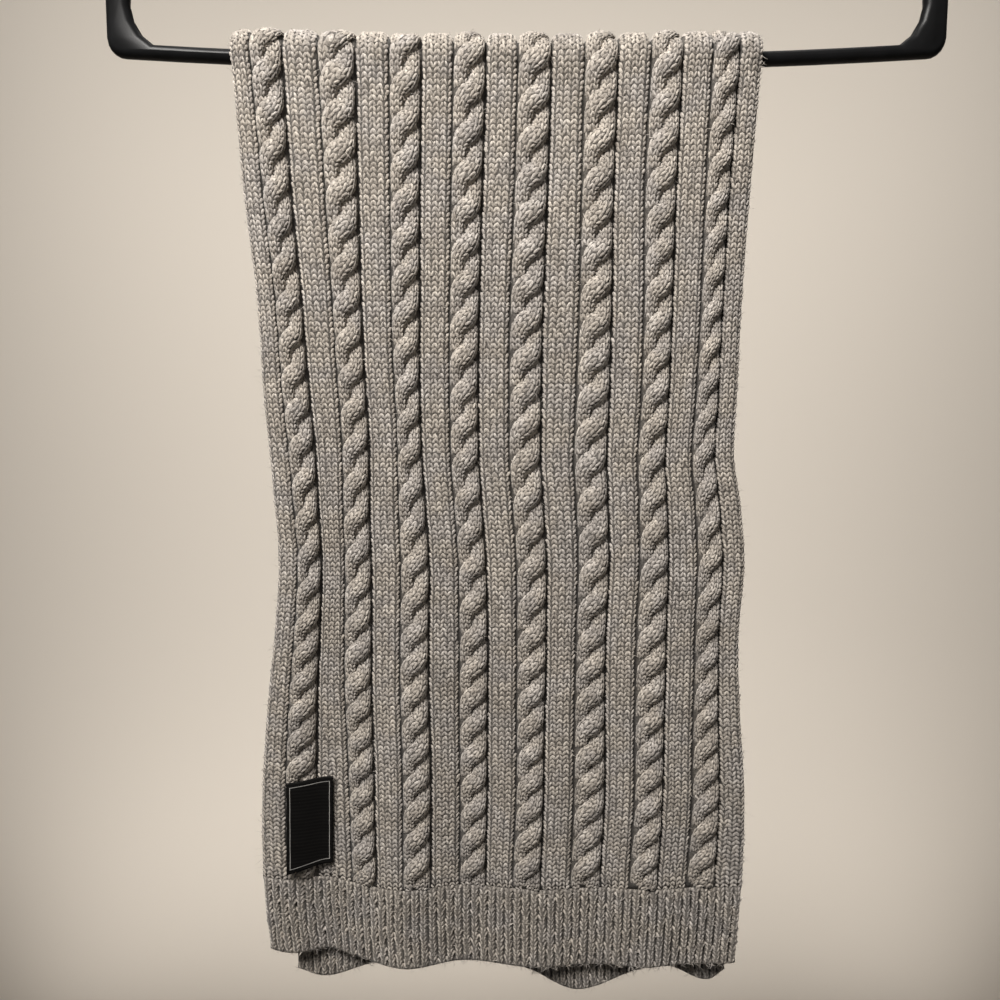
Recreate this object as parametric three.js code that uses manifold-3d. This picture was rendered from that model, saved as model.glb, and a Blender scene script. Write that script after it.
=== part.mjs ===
// A cable-knit scarf, folded end to end and laid over the bar of a plastic hanger.
// Millimetres, +Z up, +X to the right as seen from the front, +Y to the back. The origin is the inner top of
// the hook, where the rail holds it.
import * as THREE from 'three';
import { mergeVertices } from 'three/addons/utils/BufferGeometryUtils.js';
import Module from 'manifold-3d';

// Gap kept at each seam between two stretches of the knit
const SEAM = 0.3;

// Hanger: the bar's centre line sags between the two rounded ends of the arms
const BAR = { z: -184, half: 3.5, sag: 5, halfSpan: 185 };
const ARM = {
  endX: 168.7,
  endRise: 26.7,
  innerR: 22.9,
  outerR: 34.9,
  slope: 20,
  apexR: 16,
  bevel: 3.1,
  innerTurn: 0.98,
  outerCornerX: 195,
};
const HOOK = {
  innerR: 19,
  wireR: 3.4,
  stemFoot: -68,
  stemTop: -52,
  neckX: 3.5,
  neckZ: -43,
  bottom: -40,
  tip: 205,
};

// The two layers of knit on the bar, by the radius of each layer's plain inside. A length that runs round the
// bar turns about the bar's centre, and its path is measured at the turn radius.
const INNER = { inside: 3.9, thick: 3.6, turn: 5.7 };
const OUTER = { inside: 7.9, turn: 11, curl: 2.2, curlAtFoot: 1.1, curlWidth: 8 };

// Drops below the bar's centre line
const FRONT_HEM = 477;
const FRONT_FOLD_FOOT = 485;
const FRONT_RIB = 431;
const SECOND_RIB = 443;
const BACK_FOLD = 462;
const SAG_FADE = 200;

// Heights of the knit over its plain inside
const KNIT = { channel: 2.0, flat: 3.2, border: 2.6 };
const RIBS = { count: 75, crest: 3.3, groove: 1.9 };

// The outer layer's side edges on the front, by drop
const FRONT_EDGES = [
  { drop: 0, left: -141.8, right: 112.6 },
  { drop: 66, left: -139.0, right: 110.2 },
  { drop: 113, left: -135.3, right: 109.0 },
  { drop: 162, left: -134.4, right: 108.9 },
  { drop: 193, left: -132.6, right: 108.9 },
  { drop: 214, left: -131.6, right: 112.8 },
  { drop: 246, left: -130.6, right: 116.6 },
  { drop: 290, left: -135.0, right: 115.2 },
  { drop: 324, left: -139.8, right: 117.0 },
  { drop: 383, left: -146.0, right: 122.0 },
  { drop: 445, left: -147.6, right: 121.6 },
  { drop: 485, left: -145.0, right: 119.1 },
];

// The inner layer hangs a little narrower than the outer one
const SECOND_EDGES = [
  { drop: 0, left: -131.5, right: 101.0 },
  { drop: 193, left: -122.5, right: 97.0 },
  { drop: 300, left: -125.0, right: 103.5 },
  { drop: 383, left: -130.0, right: 109.0 },
  { drop: 440, left: -131.5, right: 113.0 },
  { drop: 500, left: -131.5, right: 117.5 },
];
const BACK_EDGES = [
  { drop: 0, left: -141.8, right: 112.6 },
  { drop: 180, left: -134.0, right: 104.5 },
  { drop: 330, left: -137.5, right: 110.0 },
  { drop: 482, left: -142.0, right: 114.0 },
];
const BACK_INNER_EDGES = [
  { drop: 0, left: -131.5, right: 101.0 },
  { drop: 180, left: -125.5, right: 96.0 },
  { drop: 330, left: -129.0, right: 101.5 },
  { drop: 462, left: -133.0, right: 105.0 },
];

// Soft upright folds: how far the cloth stands out at its foot, by the share of the width from the left edge
const FRONT_FOLDS = [
  { across: 0, out: 2.0 },
  { across: 0.06, out: 4.8 },
  { across: 0.13, out: 0.5 },
  { across: 0.20, out: 8.0 },
  { across: 0.30, out: 17.0 },
  { across: 0.42, out: 10.0 },
  { across: 0.58, out: 16.0 },
  { across: 0.70, out: 13.0 },
  { across: 0.81, out: 16.0 },
  { across: 0.88, out: 13.5 },
  { across: 1, out: 13.0 },
];
const SECOND_FOLDS = [
  { across: 0, out: 0.5, drop: 493.5 },
  { across: 0.06, out: 0, drop: 499 },
  { across: 0.18, out: 2, drop: 489 },
  { across: 0.30, out: 4.5, drop: 486 },
  { across: 0.42, out: 3.0, drop: 486 },
  { across: 0.54, out: 8.0, drop: 487 },
  { across: 0.65, out: 11, drop: 497.5 },
  { across: 0.80, out: 8.0, drop: 488 },
  { across: 0.87, out: 7.0, drop: 486.5 },
  { across: 0.96, out: 8.0, drop: 494 },
  { across: 1, out: 7.5, drop: 488 },
];
const BACK_FOLDS = [
  { across: 0, out: 1.0 },
  { across: 0.15, out: 4.0 },
  { across: 0.32, out: 0.5 },
  { across: 0.47, out: 6.0 },
  { across: 0.62, out: 1.5 },
  { across: 0.77, out: 6.5 },
  { across: 0.90, out: 2.0 },
  { across: 1, out: 4.0 },
];
const BACK_INNER_FOLDS = [
  { across: 0, out: 0 },
  { across: 0.15, out: 1.5 },
  { across: 0.32, out: 0 },
  { across: 0.47, out: 3.0 },
  { across: 0.62, out: 0.2 },
  { across: 0.77, out: 3.5 },
  { across: 0.90, out: 0.8 },
  { across: 1, out: 0.5 },
];
const FOLD_START = 150;
const FOLD_POWER = 1.5;
const FOLD_LIMIT = 1.2;

// The cables' centres as shares of the width, by drop, from the left cable c1 to the right one c8
const CABLE_CENTRES = [
  { drop: 0, c1: 0.068, c2: 0.200, c3: 0.329, c4: 0.450, c5: 0.572, c6: 0.697, c7: 0.820, c8: 0.931 },
  { drop: 60, c1: 0.068, c2: 0.195, c3: 0.320, c4: 0.441, c5: 0.567, c6: 0.698, c7: 0.821, c8: 0.933 },
  { drop: 120, c1: 0.067, c2: 0.186, c3: 0.306, c4: 0.427, c5: 0.555, c6: 0.697, c7: 0.826, c8: 0.936 },
  { drop: 180, c1: 0.072, c2: 0.189, c3: 0.304, c4: 0.422, c5: 0.551, c6: 0.692, c7: 0.823, c8: 0.933 },
  { drop: 240, c1: 0.068, c2: 0.172, c3: 0.294, c4: 0.415, c5: 0.542, c6: 0.676, c7: 0.805, c8: 0.924 },
  { drop: 300, c1: 0.073, c2: 0.186, c3: 0.308, c4: 0.434, c5: 0.557, c6: 0.683, c7: 0.811, c8: 0.930 },
  { drop: 360, c1: 0.081, c2: 0.207, c3: 0.324, c4: 0.441, c5: 0.558, c6: 0.681, c7: 0.803, c8: 0.921 },
  { drop: 420, c1: 0.085, c2: 0.218, c3: 0.329, c4: 0.443, c5: 0.554, c6: 0.675, c7: 0.794, c8: 0.913 },
];

// Widths of the cables between their purl channels, by drop
const CABLE_WIDTHS = [
  { drop: 0, c1: 16.0, c2: 18.6, c3: 15.9, c4: 16.1, c5: 16.6, c6: 16.6, c7: 15.5, c8: 13.2 },
  { drop: 60, c1: 14.3, c2: 16.8, c3: 15.0, c4: 15.7, c5: 16.7, c6: 16.2, c7: 15.7, c8: 11.8 },
  { drop: 120, c1: 13.6, c2: 14.9, c3: 14.6, c4: 15.2, c5: 17.1, c6: 16.8, c7: 14.5, c8: 11.0 },
  { drop: 180, c1: 14.3, c2: 14.3, c3: 12.7, c4: 15.0, c5: 16.8, c6: 17.6, c7: 14.4, c8: 11.6 },
  { drop: 240, c1: 12.8, c2: 14.4, c3: 15.3, c4: 15.0, c5: 16.4, c6: 16.9, c7: 15.5, c8: 13.4 },
  { drop: 300, c1: 14.5, c2: 15.5, c3: 15.8, c4: 15.7, c5: 16.1, c6: 16.3, c7: 16.4, c8: 12.9 },
  { drop: 360, c1: 16.9, c2: 15.1, c3: 15.8, c4: 15.5, c5: 15.3, c6: 17.4, c7: 15.9, c8: 14.8 },
  { drop: 420, c1: 16.7, c2: 14.7, c3: 15.6, c4: 14.8, c5: 15.8, c6: 17.2, c7: 15.8, c8: 15.9 },
];

// How much lower each cable's crossings sit than the course table says, at the bar and at the foot
const CABLES = [
  { cable: 'c1', lowTop: -8.0, lowFoot: -8.0 },
  { cable: 'c2', lowTop: -8.0, lowFoot: -7.8 },
  { cable: 'c3', lowTop: -4.9, lowFoot: -1.7 },
  { cable: 'c4', lowTop: 0.0, lowFoot: 0.0 },
  { cable: 'c5', lowTop: 2.3, lowFoot: -1.7 },
  { cable: 'c6', lowTop: 3.6, lowFoot: -1.1 },
  { cable: 'c7', lowTop: 4.5, lowFoot: -4.2 },
  { cable: 'c8', lowTop: -3.0, lowFoot: -5.4 },
];

// Drop of each crossing on the front, counted down from the first one below the bar. The rows at both ends
// carry the same pitch on over the bar and past the ribs.
const PITCH = 17.5;
const COURSES = [
  { crossing: -40, drop: 18.1 - 40 * PITCH },
  { crossing: 0, drop: 18.1 },
  { crossing: 5, drop: 105.5 },
  { crossing: 10, drop: 193.8 },
  { crossing: 15, drop: 288.5 },
  { crossing: 20, drop: 370.5 },
  { crossing: 40, drop: 370.5 + 20 * 16.2 },
];
const COURSES_FOOT = 22;

// Rows of points down the columns, in crossings: two for each lobe, fewer where the knit runs straight
const ROW_STEP = { strand: 0.5, channel: 2, band: 3 };
const ROW_MARGIN = PITCH / 5;
const WRAP_STEPS = 7;
const RIB_STEPS = 2;

// A cable's three raised columns, by their place between its channels: the crest of a lobe climbs from lower
// left to upper right, so its turn comes later on the left and sooner on the right
const STRANDS = [
  { at: -0.68, mean: 3.7, swell: 0.9, lead: 0.33 },
  { at: 0, mean: 4.5, swell: 0.7, lead: 0 },
  { at: 0.68, mean: 3.7, swell: 0.9, lead: -0.33 },
];
const BAND_INSET = 2.3;

// The woven label on the front, lower left
const LABEL = {
  topLeft: { x: -129.9, drop: 370.7 },
  topRight: { x: -104.9, drop: 368.2 },
  footLeft: { x: -131.8, drop: 425.1 },
  footRight: { x: -106.7, drop: 419.8 },
  thick: 0.9,
  overCable: 5.8,
  overBand: 4.4,
  cableShare: 0.4,
  bandShare: 0.9,
  steps: 6,
};

// The fold at the foot of the back: a loop of knit whose plain inside closes on itself round a small hollow
const LOOP = { hollow: 1.8, foot: 474, arc: 34, straight: 0.35, rows: [0, 0.25, 0.4, 0.5, 0.6, 0.75, 1] };

const BLACK = new THREE.MeshStandardMaterial({ name: 'hanger_plastic', color: 0x161616, roughness: 0.25 });
const WOOL = new THREE.MeshStandardMaterial({ name: 'knit', color: 0x8d867d, roughness: 0.95 });
const WOOL_INNER = new THREE.MeshStandardMaterial({ name: 'knit_inner', color: 0x7c756c, roughness: 0.95 });
const SATIN = new THREE.MeshStandardMaterial({ name: 'label', color: 0x1b1a1a, roughness: 0.7 });

const { clamp, lerp, smoothstep, degToRad } = THREE.MathUtils;

// A smooth curve through one column of a table, over another
function through(rows, key, value) {
  const curve = new THREE.CubicInterpolant(rows.map((row) => row[key]), rows.map((row) => row[value]), 1);
  return (at) => curve.evaluate(at)[0];
}

function straight(rows, key, value) {
  const line = new THREE.LinearInterpolant(rows.map((row) => row[key]), rows.map((row) => row[value]), 1);
  return (at) => line.evaluate(at)[0];
}

const dropOfCrossing = straight(COURSES, 'crossing', 'drop');
const crossingOfDrop = straight(COURSES, 'drop', 'crossing');

function barLift(x) {
  return BAR.sag * (x / BAR.halfSpan) ** 2;
}

// A layer of knit over the bar. Its path runs up the front, over the bar and down the back: it is minus the
// drop on the front, 0 where the front meets the turn, and past the turn's length it goes down the back.
class Layer {
  constructor(shape, front, back) {
    this.inside = shape.inside;
    this.turnRadius = shape.turn;
    this.turn = Math.PI * shape.turn;
    this.curl = shape.curl ?? 0;
    this.curlAtFoot = shape.curlAtFoot ?? 0;
    this.curlWidth = shape.curlWidth ?? 1;
    this.sides = { front: Layer.side(front), back: Layer.side(back) };
  }

  static side({ edges, folds, foot }) {
    return {
      left: through(edges, 'drop', 'left'),
      right: through(edges, 'drop', 'right'),
      out: through(folds, 'across', 'out'),
      foot,
    };
  }

  drop(path) {
    return path < this.turn / 2 ? Math.max(-path, 0) : Math.max(path - this.turn, 0);
  }

  side(path) {
    return path < this.turn / 2 ? this.sides.front : this.sides.back;
  }

  edges(path) {
    const side = this.side(path);
    const drop = this.drop(path);
    return { left: side.left(drop), right: side.right(drop) };
  }

  x(across, path) {
    const { left, right } = this.edges(path);
    return lerp(left, right, across);
  }

  // How far the plain inside stands out from its place on the bar: the folds, less the curl of the edge
  stand(across, path) {
    const side = this.side(path);
    const depth = (this.drop(path) - FOLD_START) / (side.foot - FOLD_START);
    const fade = clamp(depth, 0, FOLD_LIMIT) ** FOLD_POWER;
    const { left, right } = this.edges(path);
    const toEdge = Math.min(across, 1 - across) * (right - left);
    const roll = clamp(1 - toEdge / this.curlWidth, 0, 1) ** 2;
    return side.out(across) * fade - lerp(this.curl, this.curlAtFoot, fade) * roll;
  }

  // The point at a share of the width, a path and a height over the plain inside
  point(across, path, height) {
    const x = this.x(across, path);
    const out = this.inside + this.stand(across, path) + height;
    const angle = clamp(path / this.turnRadius, 0, Math.PI);
    const drop = this.drop(path);
    const lift = barLift(x) * (1 - smoothstep(drop, 0, SAG_FADE));
    const rise = path > 0 && path < this.turn ? out * Math.sin(angle) : 0;
    return new THREE.Vector3(x, -out * Math.cos(angle), BAR.z + lift + rise - drop);
  }
}

const outerLayer = new Layer(
  OUTER,
  { edges: FRONT_EDGES, folds: FRONT_FOLDS, foot: FRONT_FOLD_FOOT },
  { edges: BACK_EDGES, folds: BACK_FOLDS, foot: BACK_FOLD },
);
const innerLayer = new Layer(
  INNER,
  { edges: SECOND_EDGES, folds: SECOND_FOLDS, foot: FRONT_FOLD_FOOT },
  { edges: BACK_INNER_EDGES, folds: BACK_INNER_FOLDS, foot: BACK_FOLD },
);

// Triangles between two rows of points that run the same way, joined in the order of their keys
function zip(first, second, faces) {
  let i = 0;
  let j = 0;
  while (i < first.length - 1 || j < second.length - 1) {
    const firstOpen = i < first.length - 1;
    const takeFirst = j === second.length - 1 || (firstOpen && first[i + 1].key <= second[j + 1].key);
    if (takeFirst) {
      faces.push(first[i].id, second[j].id, first[i + 1].id);
      i += 1;
    } else {
      faces.push(first[i].id, second[j].id, second[j + 1].id);
      j += 1;
    }
  }
}

// A closed wall between an outer and an inner face. Each face is a list of columns from left to right, and a
// column is a list of points { at, key } along the path, with the same path at both ends of every column.
function wallGeometry(outer, inner) {
  const positions = [];
  const faces = [];
  for (const column of [...outer, ...inner]) {
    for (const point of column) {
      point.id = positions.length / 3;
      positions.push(...point.at.toArray());
    }
  }
  for (let i = 0; i < outer.length - 1; i += 1) zip(outer[i], outer[i + 1], faces);
  for (let i = 0; i < inner.length - 1; i += 1) zip(inner[i + 1], inner[i], faces);
  const byPath = (column) => column.map(({ id, path }) => ({ id, key: path }));
  zip(byPath(inner[0]), byPath(outer[0]), faces);
  zip(byPath(outer.at(-1)), byPath(inner.at(-1)), faces);
  const row = (columns, end) => columns
    .map((column) => column.at(end))
    .map(({ id, across }) => ({ id, key: across }));
  zip(row(outer, 0), row(inner, 0), faces);
  zip(row(inner, -1), row(outer, -1), faces);
  const geometry = new THREE.BufferGeometry();
  geometry.setAttribute('position', new THREE.Float32BufferAttribute(positions, 3));
  geometry.setIndex(faces);
  geometry.computeVertexNormals();
  return geometry;
}

function evenly(from, to, steps) {
  return Array.from({ length: steps + 1 }, (_, i) => lerp(from, to, i / steps));
}

function pathEnds(range, across) {
  return typeof range.from === 'function' ? [range.from(across), range.to(across)] : [range.from, range.to];
}

// Shares of the width where the plain inside has its columns: close in the curled edges, even between them
const INSIDE_SHARES = [0, 0.018, 0.034, ...evenly(0.08, 0.92, 20), 0.966, 0.982, 1];

// One column of points at the given paths. The key shifts with the lobes, so that crests join crests.
function column(place, acrossAt, heightAt, paths, keyShift = 0) {
  return paths.map((path) => {
    const across = acrossAt(path);
    return { at: place(across, path, heightAt(path)), across, path, key: path + keyShift };
  });
}

// A face with a column at each share of the width, at a height worked out from that share
function plainFace(place, range, shares, steps, height) {
  return shares.map((across) => {
    const [from, to] = pathEnds(range, across);
    return column(place, () => across, () => height(across), evenly(from, to, steps));
  });
}

// Where a cable runs, and how far round its twist the strands are
class Cable {
  constructor({ cable, lowTop, lowFoot }, layer) {
    this.centre = through(CABLE_CENTRES, 'drop', cable);
    this.width = through(CABLE_WIDTHS, 'drop', cable);
    this.lowTop = lowTop;
    this.lowFoot = lowFoot;
    this.layer = layer;
  }

  low(path) {
    const share = clamp(-path / dropOfCrossing(COURSES_FOOT), 0, 1);
    return lerp(this.lowTop, this.lowFoot, share);
  }

  // Share of the width at a place between the channels, which are at -1 and 1
  across(path, place) {
    const { left, right } = this.layer.edges(path);
    return this.centre(-path) + (place * this.width(-path)) / 2 / (right - left);
  }

  crossing(path) {
    return crossingOfDrop(-path - this.low(path));
  }

  // Paths of the crossings and of the hollows between them, from one path to another
  turns(from, to, lead, step) {
    const paths = [];
    const start = Math.ceil(this.crossing(to) / step) - 2;
    const end = Math.floor(this.crossing(from) / step) + 2;
    for (let n = end; n >= start; n -= 1) {
      const drop = dropOfCrossing(n * step + lead);
      const path = -drop - this.low(-drop);
      if (path > from + ROW_MARGIN && path < to - ROW_MARGIN) paths.push(path);
    }
    return [from, ...paths, to];
  }
}

const cables = CABLES.map((row) => new Cable(row, outerLayer));

// The cabled face of the outer layer between two paths. Its heights settle to a plain wall's where fade(path)
// falls to 0, and its rows are worked out from the crossings where no list of them is given.
function cabledFace(place, range, fade, rows) {
  const { from, to } = range;
  const columns = [];
  const add = (acrossAt, height, paths, keyShift) => {
    const full = (path) => (typeof height === 'function' ? height(path) : height);
    const heightAt = (path) => lerp(INNER.thick, full(path), fade(path));
    columns.push(column(place, acrossAt, heightAt, paths, keyShift));
  };
  const bandAt = (cable, side) => (path) => {
    const { left, right } = outerLayer.edges(path);
    return cable.across(path, side) + (side * BAND_INSET) / (right - left);
  };
  const bandRows = rows ?? cables[0].turns(from, to, 0, ROW_STEP.band);
  const channelRows = rows ?? cables[0].turns(from, to, 0, ROW_STEP.channel);
  add(() => 0, KNIT.border, bandRows);
  cables.forEach((cable, n) => {
    add(bandAt(cable, -1), KNIT.flat, bandRows);
    add((path) => cable.across(path, -1), KNIT.channel, channelRows);
    for (const { at, mean, swell, lead } of STRANDS) {
      const paths = rows ?? cable.turns(from, to, lead, ROW_STEP.strand);
      const height = (path) => mean + swell * Math.cos(2 * Math.PI * (cable.crossing(path) - lead));
      add((path) => cable.across(path, at), height, paths, lead * PITCH);
    }
    add((path) => cable.across(path, 1), KNIT.channel, channelRows);
    add(bandAt(cable, 1), KNIT.flat, bandRows);
    const next = cables[n + 1];
    if (next) add((path) => (cable.across(path, 1) + next.across(path, -1)) / 2, KNIT.flat, bandRows);
  });
  add(() => 1, KNIT.border, bandRows);
  return columns;
}

function ribbedFace(place, range) {
  const columns = RIBS.count * 2;
  const height = (across) => (Math.round(across * columns) % 2 === 0 ? RIBS.crest : RIBS.groove);
  return plainFace(place, range, evenly(0, 1, columns), RIB_STEPS, height);
}

function meshOf(name, geometry, material) {
  const mesh = new THREE.Mesh(geometry, material);
  mesh.name = name;
  return mesh;
}

const outerPlace = (across, path, height) => outerLayer.point(across, path, height);
const innerPlace = (across, path, height) => innerLayer.point(across, path, height);

// Heights settle to the ribs' height in the last courses before the rib band
function fadeToRib(path) {
  return smoothstep(FRONT_RIB + path, 0, PITCH / 2);
}

const flush = () => 1;

function outerKnit(name, from, to, fade, insideSteps) {
  const range = { from: from + SEAM / 2, to: to - SEAM / 2 };
  const outer = cabledFace(outerPlace, range, fade);
  const inner = plainFace(outerPlace, range, INSIDE_SHARES, insideSteps, () => 0);
  return meshOf(name, wallGeometry(outer, inner), WOOL);
}

function innerKnit(name, from, to, columns, steps) {
  const range = { from: from + SEAM / 2, to: to - SEAM / 2 };
  const shares = evenly(0, 1, columns);
  const outer = plainFace(innerPlace, range, shares, steps, () => INNER.thick);
  const inner = plainFace(innerPlace, range, shares, steps, () => 0);
  return meshOf(name, wallGeometry(outer, inner), WOOL_INNER);
}

function ribBand(name, place, hemAt, seam, material) {
  const range = { from: (across) => -hemAt(across), to: () => -seam - SEAM / 2 };
  const outer = ribbedFace(place, range);
  const inner = plainFace(place, range, INSIDE_SHARES, RIB_STEPS, () => 0);
  return meshOf(name, wallGeometry(outer, inner), material);
}

// Over the bar the knit turns, so every column has even steps round the turn
function outerWrap() {
  const range = { from: SEAM / 2, to: outerLayer.turn - SEAM / 2 };
  const rows = evenly(range.from, range.to, WRAP_STEPS);
  const outer = cabledFace(outerPlace, range, flush, rows);
  const inner = plainFace(outerPlace, range, INSIDE_SHARES, WRAP_STEPS, () => 0);
  return meshOf('bar_wrap_outer', wallGeometry(outer, inner), WOOL);
}

// The line of the loop's plain inside in the YZ plane, from the outer layer's foot round to the inner layer's
function foldLine(share, top) {
  const middle = (OUTER.inside + INNER.inside + INNER.thick) / 2;
  const side = share < 0.5 ? 1 : -1;
  const near = share < 0.5 ? share : 1 - share;
  const start = side > 0 ? OUTER.inside : INNER.inside + INNER.thick;
  if (near < LOOP.straight) {
    const part = near / LOOP.straight;
    const y = lerp(start, middle + side * LOOP.hollow, smoothstep(part, 0, 1));
    return new THREE.Vector2(y, -lerp(top, LOOP.foot, part));
  }
  const angle = ((share - LOOP.straight) / (1 - 2 * LOOP.straight)) * Math.PI;
  return new THREE.Vector2(
    middle + LOOP.hollow * Math.cos(angle),
    -LOOP.foot - LOOP.hollow * Math.sin(angle),
  );
}

function foldPlace(across, path, height) {
  const start = outerLayer.turn + BACK_FOLD;
  const share = clamp((path - start) / LOOP.arc, 0, 1);
  const top = BACK_FOLD + SEAM / 2;
  const step = 0.004;
  const here = foldLine(share, top);
  const before = foldLine(Math.max(share - step, 0), top);
  const after = foldLine(Math.min(share + step, 1), top);
  const along = after.sub(before).normalize();
  const end = innerLayer.turn + BACK_FOLD;
  const part = smoothstep(share, 0, 1);
  const x = lerp(outerLayer.x(across, start), innerLayer.x(across, end), part);
  const stand = lerp(outerLayer.stand(across, start), innerLayer.stand(across, end), part);
  return new THREE.Vector3(x, here.x + stand - along.y * height, BAR.z + here.y + along.x * height);
}

function backFold() {
  const start = outerLayer.turn + BACK_FOLD;
  const range = { from: start, to: start + LOOP.arc };
  const rows = LOOP.rows.map((share) => start + share * LOOP.arc);
  const fade = (path) => 1 - smoothstep((path - start) / LOOP.arc, 0.5, 1);
  const outer = cabledFace(foldPlace, range, fade, rows);
  const inner = evenly(0, 1, 16).map((across) => column(foldPlace, () => across, () => 0, rows));
  return meshOf('back_fold', wallGeometry(outer, inner), WOOL);
}

function label() {
  const face = (lift) => evenly(0, 1, LABEL.steps).map((share) => {
    const toBand = smoothstep(share, LABEL.cableShare, LABEL.bandShare);
    const over = lerp(LABEL.overCable, LABEL.overBand, toBand) + lift;
    const foot = -lerp(LABEL.footLeft.drop, LABEL.footRight.drop, share);
    const top = -lerp(LABEL.topLeft.drop, LABEL.topRight.drop, share);
    const footX = lerp(LABEL.footLeft.x, LABEL.footRight.x, share);
    const topX = lerp(LABEL.topLeft.x, LABEL.topRight.x, share);
    const acrossAt = (path) => {
      const { left, right } = outerLayer.edges(path);
      const x = lerp(footX, topX, (path - foot) / (top - foot));
      return (x - left) / (right - left);
    };
    return column(outerPlace, acrossAt, () => over, evenly(foot, top, LABEL.steps));
  });
  return meshOf('label', wallGeometry(face(LABEL.thick), face(0)), SATIN);
}

// The hanger's outline in the XZ plane, as a shape with a hole, rounded by a bevel
function hangerFrame() {
  const slope = degToRad(ARM.slope);
  const centreZ = BAR.z + ARM.endRise;
  const bar = (x, side) => BAR.z + barLift(x) + side * BAR.half;
  const barPoints = (halfWidth, side, steps) => evenly(-halfWidth, halfWidth, steps)
    .map((x) => new THREE.Vector2(x, bar(x, side)));
  const arc = (cx, cz, radius, from, to, steps) => evenly(from, to, steps)
    .map((angle) => new THREE.Vector2(cx + radius * Math.cos(angle), cz + radius * Math.sin(angle)));
  const mirrored = (points) => points.map(({ x, y }) => new THREE.Vector2(-x, y)).reverse();
  const upright = Math.PI / 2 - slope;
  const apex = (radius) => {
    const top = centreZ + (radius + ARM.endX * Math.sin(slope)) / Math.cos(slope);
    return arc(0, top - ARM.apexR / Math.cos(slope), ARM.apexR, upright, Math.PI - upright, 4);
  };

  // The bar runs straight on under the arm, to a small outer corner
  const cornerX = ARM.outerCornerX;
  const cornerR = ARM.endX + ARM.outerR - cornerX;
  const corner = arc(cornerX, bar(cornerX, -1) + cornerR, cornerR, -Math.PI / 2, 0, 5);
  const outerEnd = [...corner, ...arc(ARM.endX, centreZ, ARM.outerR, upright / 5, upright, 4)];
  const outline = [
    ...barPoints(cornerX, -1, 14).slice(0, -1),
    ...outerEnd,
    ...apex(ARM.outerR),
    ...mirrored(outerEnd).slice(0, -1),
  ];

  // The inner end is an arc that meets the bar's upper face at an angle
  const innerEnd = arc(ARM.endX, centreZ, ARM.innerR, -ARM.innerTurn, upright, 7);
  const meetX = innerEnd[0].x;
  innerEnd[0].y = bar(meetX, 1);
  const hole = [
    ...barPoints(meetX, 1, 14).slice(0, -1),
    ...innerEnd,
    ...apex(ARM.innerR),
    ...mirrored(innerEnd).slice(0, -1),
  ];

  const shape = new THREE.Shape(outline);
  shape.holes.push(new THREE.Path(hole));
  const depth = 2 * (BAR.half - ARM.bevel);
  const geometry = new THREE.ExtrudeGeometry(shape, {
    depth,
    bevelThickness: ARM.bevel,
    bevelSize: ARM.bevel,
    bevelOffset: -ARM.bevel,
    bevelSegments: 2,
    curveSegments: 1,
  });
  geometry.translate(0, 0, -depth / 2);
  geometry.rotateX(Math.PI / 2);
  return geometry;
}

// The hook's wire, from inside the apex up and round to its tip
function hookWire() {
  const radius = HOOK.innerR + HOOK.wireR;
  const centreZ = HOOK.wireR - radius;
  const round = evenly(HOOK.bottom, HOOK.tip, 9).map((degrees) => {
    const angle = degToRad(degrees);
    return new THREE.Vector3(radius * Math.cos(angle), 0, centreZ + radius * Math.sin(angle));
  });
  const path = new THREE.CatmullRomCurve3([
    new THREE.Vector3(0, 0, HOOK.stemFoot),
    new THREE.Vector3(0, 0, HOOK.stemTop),
    new THREE.Vector3(HOOK.neckX, 0, HOOK.neckZ),
    ...round,
  ]);
  const section = new THREE.Shape();
  section.absarc(0, 0, HOOK.wireR, 0, 2 * Math.PI);
  return new THREE.ExtrudeGeometry(section, { steps: 32, curveSegments: 5, extrudePath: path });
}

function toManifold(wasm, geometry) {
  const bare = geometry.clone();
  bare.deleteAttribute('normal');
  bare.deleteAttribute('uv');
  const merged = mergeVertices(bare, 1e-4);
  const mesh = new wasm.Mesh({
    numProp: 3,
    vertProperties: new Float32Array(merged.attributes.position.array),
    triVerts: new Uint32Array(merged.index.array),
  });
  return new wasm.Manifold(mesh);
}

function fromManifold(solid) {
  const { vertProperties, triVerts } = solid.getMesh();
  const geometry = new THREE.BufferGeometry();
  geometry.setAttribute('position', new THREE.Float32BufferAttribute(vertProperties, 3));
  geometry.setIndex([...triVerts]);
  geometry.computeVertexNormals();
  return geometry;
}

async function hanger() {
  const wasm = await Module();
  wasm.setup();
  const joined = toManifold(wasm, hangerFrame()).add(toManifold(wasm, hookWire()));
  return meshOf('hanger', fromManifold(joined), BLACK);
}

const frontHem = () => FRONT_HEM;
const secondHem = through(SECOND_FOLDS, 'across', 'drop');

const scarf = new THREE.Group();
scarf.name = 'scarf_on_hanger';
scarf.add(
  await hanger(),
  outerKnit('front_end', -FRONT_RIB, 0, fadeToRib, 10),
  ribBand('front_end_rib', outerPlace, frontHem, FRONT_RIB, WOOL),
  outerWrap(),
  outerKnit('back_length', outerLayer.turn, outerLayer.turn + BACK_FOLD, flush, 10),
  backFold(),
  innerKnit('back_inner_length', innerLayer.turn, innerLayer.turn + BACK_FOLD, 16, 8),
  innerKnit('bar_wrap_inner', 0, innerLayer.turn, 8, 7),
  innerKnit('second_end', -SECOND_RIB, 0, 18, 9),
  ribBand('second_end_rib', innerPlace, secondHem, SECOND_RIB, WOOL_INNER),
  label(),
);

export default scarf;
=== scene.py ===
# %% [markdown]
# # A knit scarf on a hanger
# This lesson dresses a plain solid model of a cable-knit scarf, so that it looks like the real thing.
# The scarf is one long machine-knit length, folded end to end and hung over the bar of a black hanger.
# The solid model already fixes every size. Here each sheet gets its stitches, its cables and its wool.

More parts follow.
